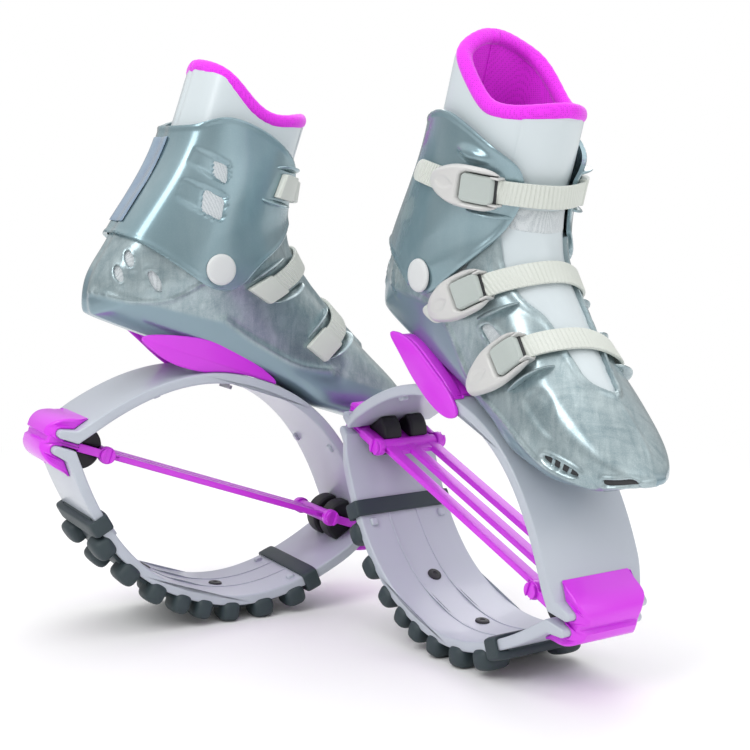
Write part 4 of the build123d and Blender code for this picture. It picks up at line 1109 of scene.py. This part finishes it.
def softBox(size, roundness=0.3, rows=14, columns=28):
    # a box whose faces bulge and whose corners are round
    cu, su = squarish(wholeTurn(columns), roundness)
    cv, sv = squarish(np.linspace(-np.pi / 2 * 0.985, np.pi / 2 * 0.985, rows)[:, None], roundness)
    return closedTube(np.stack([cv * cu, cv * su, sv + 0 * cu], -1) * np.array(size) / 2)


def leafPiece():
    # the outline carried across the boot, narrower towards its ends, with four stop nubs
    wide, narrow = leafForm["halfWidth"], leafForm["endHalfWidth"]
    pieces = [slab(leafOutline(), -wide, wide, 1.6, 4, lambda x: 1 - (1 - narrow / wide) * smoothStep(np.abs(x), 118, 147))]
    for x in (-(spring["loopX"] - 10.2), spring["loopX"] - 10.2):
        place, turned = leafFrame(x, leafForm["thick"])
        for y in (-33, 33):
            pieces.append(shifted(softBox((6.5, 6.0, 5.2), 0.45), turned, place + [0, y, 0]))
    return joined(*pieces)


def mirroredX(piece):
    # the piece with front and back exchanged
    return shifted(piece, mirrorX)


leaf = leafPiece()
ribs = []
for y in (-16, 11):
    # two raised lines along the middle of the lower leaf's upper face
    line = leafLine(leafForm["rise"] - leafForm["thick"], leafForm["span"] - leafForm["endThick"], 92, 90)
    ribs.append(shifted(slab(np.vstack([line + [0, 0.3], (line - [0, 0.8])[::-1]]), y - 1.1, y + 1.1, 0.5, 2), mirrorZ))
setDown("upperLeaf", *leaf, "leafPlastic", ["upper_leaf"], "spring_links")
setDown("lowerLeaf", *joined(shifted(leaf, mirrorZ), *ribs), "leafPlastic", ["lower_leaf"], "ground")
print("leaves")


def capPiece():
    # one outline round both lobes: plate, web, round the bead, up the leaf, over the tip and down the rounded back
    s = spring
    a = np.linspace(-np.pi / 2, np.pi / 2, 10)
    bead = leafForm["bead"] + 0.1
    rounded = np.stack([leafForm["beadX"] + bead * np.cos(a), leafForm["beadZ"] + bead * np.sin(a)], -1)
    rise, span = leafForm["rise"] + 0.35, leafForm["span"] + 0.35
    x = np.linspace(leafReach(12.4, rise, span), 125.2, 12)
    along = np.stack([x, leafCurve(x, rise, span)], -1)
    t = np.linspace(0, 1, 14)[:, None]
    tip, back, shoulder = [np.array(s[k]) for k in ("tip", "back", "shoulder")]
    control = 2 * back - (tip + shoulder) / 2
    arc = (1 - t) ** 2 * tip + 2 * t * (1 - t) * control + t**2 * shoulder
    half = np.vstack([[(s["pinX"] + s["barrel"] + 0.7, s["plateHalf"]),
                       (s["rootX"], s["plateHalf"]), (s["rootX"], s["webHalf"])],
                      rounded, along, arc, [(s["shoulder"][0] + 0.4, 3.4), (s["grooveX"], s["groove"])]])
    outline = np.vstack([half, (half * [1, -1])[::-1]])
    wide = s["capHalf"]
    pieces = [slab(outline, -wide, wide, 1.5, 4,
                   lambda p: 1 - 0.34 * np.clip((p - s["noseFrom"]) / (s["noseX"] - s["noseFrom"]), 0, 1) ** 2)]
    for y in (-1, 1):
        angle = np.linspace(np.radians(28), np.radians(332), 26)
        eye = np.stack([s["pinX"] + s["eye"] * np.cos(angle), s["eye"] * np.sin(angle)], -1)
        arm = np.vstack([[(s["armTo"], -s["armHigh"] / 2), (s["armTo"], s["armHigh"] / 2)], eye])
        pieces.append(slab(arm, *sorted((y * (wide - s["armThick"]), y * wide)), 0.8, 3))
    return joined(*pieces)


frontCap = capPiece()
setDown("frontCap", *frontCap, "magentaPlastic", ["front_cap"], "spring_links")
setDown("rearCap", *mirroredX(frontCap), "magentaPlastic", ["rear_cap"], "spring_links")


def disc(x, z, radius, yFrom, yTo, edge=0.8, sides=40):
    # a circle in side view carried across the boot
    a = wholeTurn(sides)
    return slab(np.stack([x + radius * np.cos(a), z + radius * np.sin(a)], -1), yFrom, yTo, edge, 3)


def barsPiece():
    # three flat bars and their ties between two round barrels
    s = spring
    half = s["capHalf"] - s["armThick"] - 0.35
    pieces = []
    for y in (s["barWide"] / 2 - half, 0, half - s["barWide"] / 2):
        bar = rectangle(2 - s["pinX"], s["pinX"] - 2, s["barThick"] / 2)
        pieces.append(slab(bar, y - s["barWide"] / 2, y + s["barWide"] / 2, 1.4, 4))
    for x in (-1, 1):
        pieces.append(disc(x * s["pinX"], 0, s["barrel"], -half, half))
        tie = x * (s["pinX"] - 8.15)
        pieces.append(slab(rectangle(tie - 4, tie + 4, 1.8), -half, half, 0.5, 2))
    return joined(*pieces)


def pinsPiece():
    # each head is two D-shaped halves with a slot between them, over a thin washer
    s = spring
    pieces = []
    for x in (-s["pinX"], s["pinX"]):
        pieces.append(disc(x, 0, s["pin"], -s["capHalf"], s["capHalf"], 0.2))
        for y in (-1, 1):
            base = y * (s["capHalf"] + 0.1)
            pieces.append(disc(x, 0, s["knob"] - 0.4, *sorted((base, base + y * 0.9)), 0.3))
            for half in (-1, 1):
                a = np.linspace(np.radians(-66), np.radians(66), 16)
                edge = np.stack([x + half * s["knob"] * np.cos(a) * 0.96, s["knob"] * np.sin(a)], -1)
                pieces.append(slab(edge, *sorted((base + y * 0.2, base + y * 2.6)), 0.6, 3))
    return joined(*pieces)


setDown("tensionBars", *barsPiece(), "magentaPlastic", ["tension_bars"], "spring_links")
setDown("linkPins", *pinsPiece(), "magentaPlastic", ["link_pins"], "spring_links")


def bumperPiece():
    # the outline is found along rays from the lobe's middle: as far as the round, the leaf, the plate and the bar allow
    s = spring
    centre = np.array([s["bumperX"] + 1.0, 8.0])
    a = wholeTurn(72)
    r = np.linspace(0, 26, 520)
    x = centre[0] + np.cos(a)[:, None] * r
    z = centre[1] + np.sin(a)[:, None] * r
    inner = leafCurve(x, leafForm["rise"] - leafForm["thick"] - 0.35, leafForm["span"] - leafForm["endThick"] - 0.35)
    free = ((x - s["bumperX"]) ** 2 + z**2 < s["bumper"] ** 2) & (z < inner) & (z > s["plateHalf"] + 0.1)
    free &= np.hypot(np.abs(x) - s["pinX"], z) > s["barrel"] + 0.4
    reach = r[np.argmin(free, axis=1) - 1]
    lobe = np.stack([centre[0] + np.cos(a) * reach, centre[1] + np.sin(a) * reach], -1)
    pieces = []
    for y in (-s["bumperRow"], s["bumperRow"]):
        one = slab(lobe, y - s["bumperWide"] / 2, y + s["bumperWide"] / 2, 2.4, 5)
        pieces += [one, shifted(one, mirrorZ)]
    pieces += [mirroredX(p) for p in pieces]
    return joined(*pieces)


setDown("bumperLobes", *bumperPiece(), "bumperRubber", ["bumpers"], "spring_links")
print("springs")

# Rubber sole: a strip under the leaf, rounded lugs on both edges, and a loop round the leaf near each end
tread = {"strip": 3.4, "stripHalf": 36.0, "half": 9.3, "high": 8.7, "drop": 4.7, "from": 21.0, "to": 46.8,
         "places": (0.067, 0.226, 0.408, 0.578), "lengths": (0.84, 0.90, 1.02, 1.02), "loopWide": 13.0, "loopIn": 3.0,
         "loopOut": 7.0, "loopSide": 2.8}


def loopPiece():
    # a ring with a rounded-box path; its section is a rounded box that is thicker on the outer side
    a = wholeTurn(64)
    cu, su = squarish(a, 0.22)
    leaf = np.stack([cu * 43.6, su * 4.2 - 4.1], -1)
    low, high = -8.2 - tread["loopIn"], tread["loopOut"]
    out = np.stack([cu * (43.6 + tread["loopSide"]), (low + high) / 2 + su * (high - low) / 2], -1)
    k = wholeTurn(20)
    ku, kv = squarish(k, 0.42)
    share = (kv + 1) / 2
    points = np.zeros((len(a), len(k), 3))
    points[..., 0] = ku[None] * tread["loopWide"] / 2
    points[..., 1:] = leaf[:, None] * (1 - share[None, :, None]) + out[:, None] * share[None, :, None]
    return outwardFacing((points.reshape(-1, 3), [gridFaces(len(a), len(k), True, True)]))


def treadPiece():
    # a strip between two leaf curves, soft boxes as lugs on both edges, and a loop near each end
    reach = spring["loopX"] + tread["loopWide"] / 2 - 1
    inner = leafLine(leafForm["rise"] + 0.1, leafForm["span"] + 0.1, reach)
    outer = leafLine(leafForm["rise"] + tread["strip"], leafForm["span"] + tread["strip"], reach)
    pieces = [slab(np.vstack([inner, outer[::-1]]), -tread["stripHalf"], tread["stripHalf"], 0.8, 3)]
    for share, length in zip(tread["places"], tread["lengths"]):
        place, turned = leafFrame(share * leafForm["span"])
        for y in (-1, 1):
            lug = softBox((2 * tread["half"] * length, tread["to"] - tread["from"], 2 * tread["high"]), 0.62, 20, 32)
            lug = shifted(lug, turned, place + turned[:, 2] * tread["drop"] + [0, y * (tread["from"] + tread["to"]) / 2, 0])
            pieces += [lug, mirroredX(lug)]
    place, turned = leafFrame(spring["loopX"])
    loop = shifted(loopPiece(), turned, place)
    pieces += [loop, mirroredX(loop)]
    return shifted(joined(*pieces), mirrorZ)


setDown("treadSole", *treadPiece(), "treadRubber", ["tread_sole"], "ground")
plugs = []
for x in (-1, 1):
    place, turned = leafFrame(x * spring["plugX"], leafForm["thick"])
    plug = lathe([(0.05, 1.0), (1.6, 0.9), (2.2, 1.7), (4.2, 1.8), (5.3, 1.2), (5.6, 0.2), (5.6, -1.2), (0.05, -1.2)])
    plugs.append(shifted(plug, mirrorZ @ turned @ mirrorZ, place * [1, 1, -1]))
setDown("solePlugs", *joined(*plugs), "darkPlastic", ["sole_plugs"], "ground")
print("sole")

# Mount under the boot: wings at both sides of the leaf and the long apron over the leaf's edge
mount = {"outer": ((-101.4, 102.8), (-87.8, 108.5), (-68, 109), (-40, 101.5), (-16.8, 95.5), (-1.5, 86.5), (-2.7, 80), (-13.9, 74.8),
                   (-33.4, 76), (-58.6, 83.5), (-79.9, 93.5)),
         "inner": ((-108, 93), (-104, 98), (-81.7, 104.5), (-54.3, 109.5), (-29.7, 107.5), (-3.2, 101.5), (18, 92.5), (0.6, 88),
                   (-37.7, 85), (-65.7, 81.5), (-83.6, 83.2), (-99.9, 89)),
         "thick": 3.2, "innerFrom": 35.5, "bridgeFrom": -46.0, "bridgeTo": -14.0}


def aboveLeaf(outline):
    # the outline with everything under the leaf's upper face moved up on to it
    outline = evenly(softCorners(outline, 2), 2.5)
    return np.stack([outline[:, 0], np.maximum(outline[:, 1], leafCurve(outline[:, 0]) + 0.35)], -1)


apronY = leafForm["halfWidth"] + 0.35
outerBlade = evenly(softCorners(mount["outer"], 3), 2.5)
bridgeX = np.linspace(mount["bridgeFrom"], mount["bridgeTo"], 30)
bridgeTop = np.interp(bridgeX, [row[0] for row in mount["outer"][:6]], [row[1] - 2.5 for row in mount["outer"][:6]])
bridge = np.vstack([np.stack([bridgeX, leafCurve(bridgeX) + 0.35], -1),
                    np.stack([bridgeX, np.maximum(bridgeTop, leafCurve(bridgeX) + 2)], -1)[::-1]])
backing = aboveLeaf(outerBlade[::4] * [0.86, 0.9] + [-7, 11.5])
pieces = [slab(outerBlade, -apronY - mount["thick"], -apronY, 1.3, 4),
          slab(bridge, -apronY + 4, mount["innerFrom"] + 1, 0.6, 2),
          slab(backing, -apronY - 0.5, -apronY + 9, 1.3, 4),
          slab(aboveLeaf(mount["inner"]), mount["innerFrom"], mount["innerFrom"] + mount["thick"], 1.3, 4)]
setDown("bootMount", *joined(*pieces), "magentaPlastic", ["boot_mount"], "boot")

# Ankle caps over the rivets
near = bootGrid(cuff["high"]).reshape(-1, 3)
near = near[np.hypot(near[:, 0] - rivetAt[0], near[:, 2] - rivetAt[1]) < 12.0]
capY = np.abs(near[:, 1]).max() + 0.3
rivet = lathe([(0.05, 2.6), (3.0, 2.6), (7.5, 2.45), (10.4, 2.2), (11.6, 1.6), (12.1, 0.7), (12.1, 0.0), (11.4, -0.2),
               (5.0, -0.25), (5.0, -9.5), (0.05, -9.5)], 48)
rivets = []
for y in (-1, 1):
    turned = np.array([[1, 0, 0], [0, 0, y], [0, -y, 0]], float)
    rivets.append(shifted(rivet, turned, (rivetAt[0], y * capY, rivetAt[1])))
setDown("ankleRivets", *joined(*rivets), "whiteCap", ["ankle_rivets"], "boot")
print("mount and rivets")

# Liner: a glossy outer skin, a mesh lining and the padded roll round its mouth
liner = {"out": -3.15, "wall": 5.5, "rollHigh": 8.5, "rollThick": 9.5, "tongueTo": 96.0, "tongueTop": 0.905,
         # the mouth's edge from the back to the front; the right boot's back is pulled up higher, as in the photo
         "dome": {"left": 2.0, "right": 8.0},
         "left": ((-130, 308.5), (-112, 307.5), (-96, 301), (-78, 288), (-60, 283.5), (-40, 290), (-18, 301)),
         "right": ((-130, 322), (-112, 321.5), (-96, 315), (-78, 299), (-60, 287), (-40, 290), (-18, 301))}
linerTops = {side: smoothLine(liner[side]) for side in ("left", "right")}


def linerLine(p, side):
    # the mouth's edge over a place: the side line, lower towards the two back corners
    line = np.interp(p[..., 0], linerTops[side][:, 0], linerTops[side][:, 1])
    return line - liner["dome"][side] * smoothStep(np.abs(p[..., 1]), 8, 34) * smoothStep(-p[..., 0], 66, 100)


def rollPiece(side):
    # a closed ring round the mouth: for each column of the form, the place where it crosses the liner's edge;
    # it is thicker over the high back, and fine gathers run round it
    grid = bootGrid(liner["out"] - liner["wall"] / 2 - 0.2)
    out = outwardOf(grid)
    above = grid[..., 2] - linerLine(grid, side) - liner["rollHigh"] / 2
    rows, columns = above.shape
    k = np.arange(columns)
    first = np.argmax((above[:-1] < 0) & (above[1:] >= 0) & (grid[1:, :, 2] > sidePoint(0, 0.6)[1]), axis=0)
    share = above[first, k] / (above[first, k] - above[first + 1, k])
    path = grid[first, k] * (1 - share[:, None]) + grid[first + 1, k] * share[:, None]
    for _ in range(34):
        path = (np.roll(path, 1, 0) + 2 * path + np.roll(path, -1, 0)) / 4
    outward = out[first, k]
    up = np.array([-0.05, 0, 1.0])
    along = np.roll(path, -1, 0) - np.roll(path, 1, 0)
    along = unit(along)
    rising = unit(up - along * (along @ up)[:, None])
    a = wholeTurn(26)
    back = smoothStep(-path[:, 0], 70, 115)[:, None, None]
    gather = 1 + 0.018 * np.sin(k * 1.9)[:, None, None] * (np.sin(a) > -0.4)[None, :, None]
    inward = liner["rollThick"] / 2 * (1 + 0.55 * back * np.maximum(-np.cos(a), 0)[None, :, None])
    points = path[:, None] + gather * inward * np.cos(a)[None, :, None] * outward[:, None] \
        + gather * (liner["rollHigh"] + 3) / 2 * np.sin(a)[None, :, None] * rising[:, None]
    return outwardFacing((points.reshape(-1, 3), [gridFaces(columns, len(a), True, True)]))


softPieces = []
for side in stance:
    def linerInside(p):
        return np.minimum(linerLine(p, side) + 1.5 - p[..., 2], 136 - p[..., 0])

    skin = bootSkin(liner["out"] - 2.6, liner["out"], linerInside, edge=0.5, rows=130, columns=112)
    lining = bootSkin(liner["out"] - liner["wall"], liner["out"] - 2.8, linerInside, edge=0.5, rows=130, columns=112)
    softPieces += setDown("linerSkin", *skin, "linerWhite", ["liner"], None, sides=(side,))
    softPieces += setDown("linerLining", *lining, "liningMesh", ["liner"], None, sides=(side,))
    roll = setDown("linerRoll", *rollPiece(side), "liningMesh", ["liner_collar"], None, sides=(side,))
    softPieces += roll


def tongueInside(p):
    # positive in the throat, up to the tongue's front end and its top
    x, y, z = parts(p)
    keep = np.minimum(throatInside(p) - 0.1, liner["tongueTo"] - x)
    return np.minimum(keep, sidePoint(0, liner["tongueTop"])[1] - z)


def tongueBump(p):
    # above the top strap the pad thins out until it is nearly flush with the liner
    thin = smoothStep(p[..., 2], 234, 252)
    return 1.2 * smoothStep(throatInside(p), 1.0, 9.0) * (1 - thin) - 2.0 * thin


def tongueBandInside(p):
    # a band of mesh across the tongue, under the top strap
    x, y, z = parts(p)
    return np.minimum(np.minimum(tongueInside(p) - 0.5, 7.5 - np.abs(z - 226 - 0.1 * (x + 20))), 50)


tongue = bootSkin(-2.8, -0.6, tongueInside, tongueBump, edge=0.8)
softPieces += setDown("tonguePad", *tongue, "linerWhite", ["tongue"], None)
softPieces += setDown("tongueBand", *bootSkin(-1.6, -0.1, tongueBandInside, tongueBump, edge=0.4), "linerMesh", (), None)


def insoleInside(p):
    # positive up to a height over the sole line, between heel and toe
    sole = np.array([sidePoint(*row[2:4]) for row in bootForm["stations"][1:9]])
    order = np.argsort(sole[:, 0])
    x = p[..., 0]
    keep = np.interp(x, sole[order, 0], sole[order, 1]) + 14.5 - p[..., 2]
    return np.minimum(np.minimum(keep, x + 124), 128 - x)


setDown("insoleSheet", *bootSkin(-8.75 - 3.6, -8.75, insoleInside, edge=0.6), "insoleFoam", ["insole"], "boot")


def spoilerInside(p):
    # positive in a band up the back of the cuff, behind the rivets
    x, y, z = parts(p)
    low, high = sidePoint(0, 0.389)[1], sidePoint(0, 0.702)[1]
    keep = np.minimum(np.minimum(z - low, high - z), 15.0 - np.abs(y))
    return np.minimum(keep, rivetAt[0] - x)


setDown("cuffSpoiler", *bootSkin(cuff["high"] + 0.1, cuff["high"] + 1.8, spoilerInside, edge=1.0),
        "milkyBlue", ["cuff_spoiler"], "ankle_cuff")
print("liner")

# Buckle bases: a plate under the strap with an ear on each side of the fork
for name in straps:
    low = straps[name]["carrier"] + 0.35
    height = heightOver(name, low)
    x, y = planGrid(-1, 33, 12, 1.0, 0.8)
    inside = insideOutline(x, y, softCorners(rectangle(0, 31, 10.2), 2, 0.12))
    base = height(x, y)
    plate = planSheet(name, x, y, base, base + 2.0, inside)
    origin, axes = bucklePlane(name)[:2]
    top = heightOver(name, leverOffset(name))
    ears = []
    for side in (-1, 1):
        at = np.array([3.8, side * 9.4, 0])
        zLow, zHigh = height(at[0], at[1]), top(at[0], at[1]) + 4.4
        ear = softBox((7.5, 1.6, zHigh - zLow), 0.3)
        ears.append(shifted(ear, axes, origin + axes @ np.array([at[0], at[1], (zLow + zHigh) / 2])))
    node = "top_buckle_base" if name == "top" else "lower_buckle_bases"
    setDown(name + "Base", *joined(plate, *ears), "warmWhiteLever", [node], straps[name]["body"])
print("bases")

# Soft pieces have their placement baked into their meshes; two heights at the ankle are worked out for each but not
# used
for piece in softPieces:
    side = piece.name.split("_")[0]
    low, high = toRow(np.array([[rivetAt[0], 0, 160.0], [rivetAt[0], 0, 245.0]]), side)
    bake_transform(piece)

# The lower leaf with all that is on it and the upper leaf get meshes of their own, and the mount bolts get plated steel
for side in stance:
    up = tuple(stance[side]["turned"] @ np.array([0, 0, 1.0]))
    for key in ("lowerLeaf", "treadSole", "solePlugs"):
        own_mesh(made[f"{side}_{key}"])
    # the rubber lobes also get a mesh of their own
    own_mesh(made[f"{side}_bumperLobes"])
    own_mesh(made[f"{side}_upperLeaf"])
    for place in bpy.data.objects[side + "_mount_bolts"].material_slots:
        place.material = materials["platedSteel"]

# Camera, light and floor
camera = bpy.data.objects.new("camera", bpy.data.cameras.new("camera"))
bpy.context.collection.objects.link(camera)
camera.location = (0.04179, -1.16856, 0.3526)
camera.rotation_euler = (np.radians(82.81), 0, 0)
camera.data.lens, camera.data.sensor_width = 74.47, 36.0
camera.data.clip_start = 0.01
bpy.context.scene.camera = camera

# lamps: place, what they look at, power in watts and size in metres; the studio's light near the horizon and overhead
light = {"key": ((-1.1, -1.3, 1.7), (0, 0, 0.15), 16.0, 1.1), "fill": ((1.6, -1.2, 0.9), (0, 0, 0.2), 5.5, 1.4),
         "back": ((0.4, 1.6, 1.4), (0, 0, 0.2), 8.0, 1.2), "top": ((0.0, 0.0, 2.2), (0, 0, 0), 8.0, 1.5)}
studio = {"low": 0.30, "high": 0.95, "lowAt": -0.15, "highAt": 0.75}
for name, (place, target, power, size) in light.items():
    data = bpy.data.lights.new(name + "Light", "AREA")
    data.energy, data.size = power, size
    lamp = bpy.data.objects.new(data.name, data)
    bpy.context.collection.objects.link(lamp)
    lamp.location = place
    lamp.rotation_euler = (Vector(target) - Vector(place)).to_track_quat("-Z", "Y").to_euler()

# the studio is dim near the horizon and bright overhead, and plain white where the camera sees it
world = bpy.data.worlds.new("studio")
world.use_nodes = True
tree = world.node_tree
up = nodeOf(tree, "SeparateXYZ", nodeOf(tree, "TexCoord").outputs["Generated"]).outputs["Z"]
rise = nodeOf(tree, "MapRange", up, interpolation_type="SMOOTHSTEP", From_Min=studio["lowAt"], From_Max=studio["highAt"],
              To_Min=studio["low"], To_Max=studio["high"]).outputs[0]
seen = nodeOf(tree, "LightPath").outputs["Is Camera Ray"]
feed(tree, tree.nodes["Background"].inputs["Color"], (1, 1, 1, 1))
feed(tree, tree.nodes["Background"].inputs["Strength"], nodeOf(tree, "Mix", seen, A=rise, B=1.0).outputs[0])
bpy.context.scene.world = world
bpy.context.scene.view_settings.view_transform = "Standard"

# away from the boots the floor turns into plain white light, so that no horizon shows
ground = {"half": 6, "colour": (0.93, 0.93, 0.93, 1), "roughness": 0.6, "fadeFrom": 0.45, "fadeTo": 0.95}
floorMesh = bpy.data.meshes.new("floor")
floorMesh.from_pydata([(x, y, 0) for x, y in rectangle(-ground["half"], ground["half"], ground["half"])], [], [(0, 1, 2, 3)])
floor = bpy.data.objects.new("floor", floorMesh)
bpy.context.collection.objects.link(floor)
floorPaint = bpy.data.materials.new("floorPaint")
floorPaint.use_nodes = True
tree = floorPaint.node_tree
paint = tree.nodes["Principled BSDF"]
paint.inputs["Base Color"].default_value = ground["colour"]
paint.inputs["Roughness"].default_value = ground["roughness"]
away = nodeOf(tree, "VectorMath", nodeOf(tree, "TexCoord").outputs["Object"], operation="LENGTH").outputs["Value"]
fade = nodeOf(tree, "MapRange", away, interpolation_type="SMOOTHSTEP", From_Min=ground["fadeFrom"],
              From_Max=ground["fadeTo"]).outputs[0]
blended = nodeOf(tree, "MixShader", fade, paint.outputs[0], nodeOf(tree, "Emission", Strength=1.0).outputs[0])
feed(tree, tree.nodes["Material Output"].inputs["Surface"], blended.outputs[0])
floorMesh.materials.append(floorPaint)

print("scene ready")
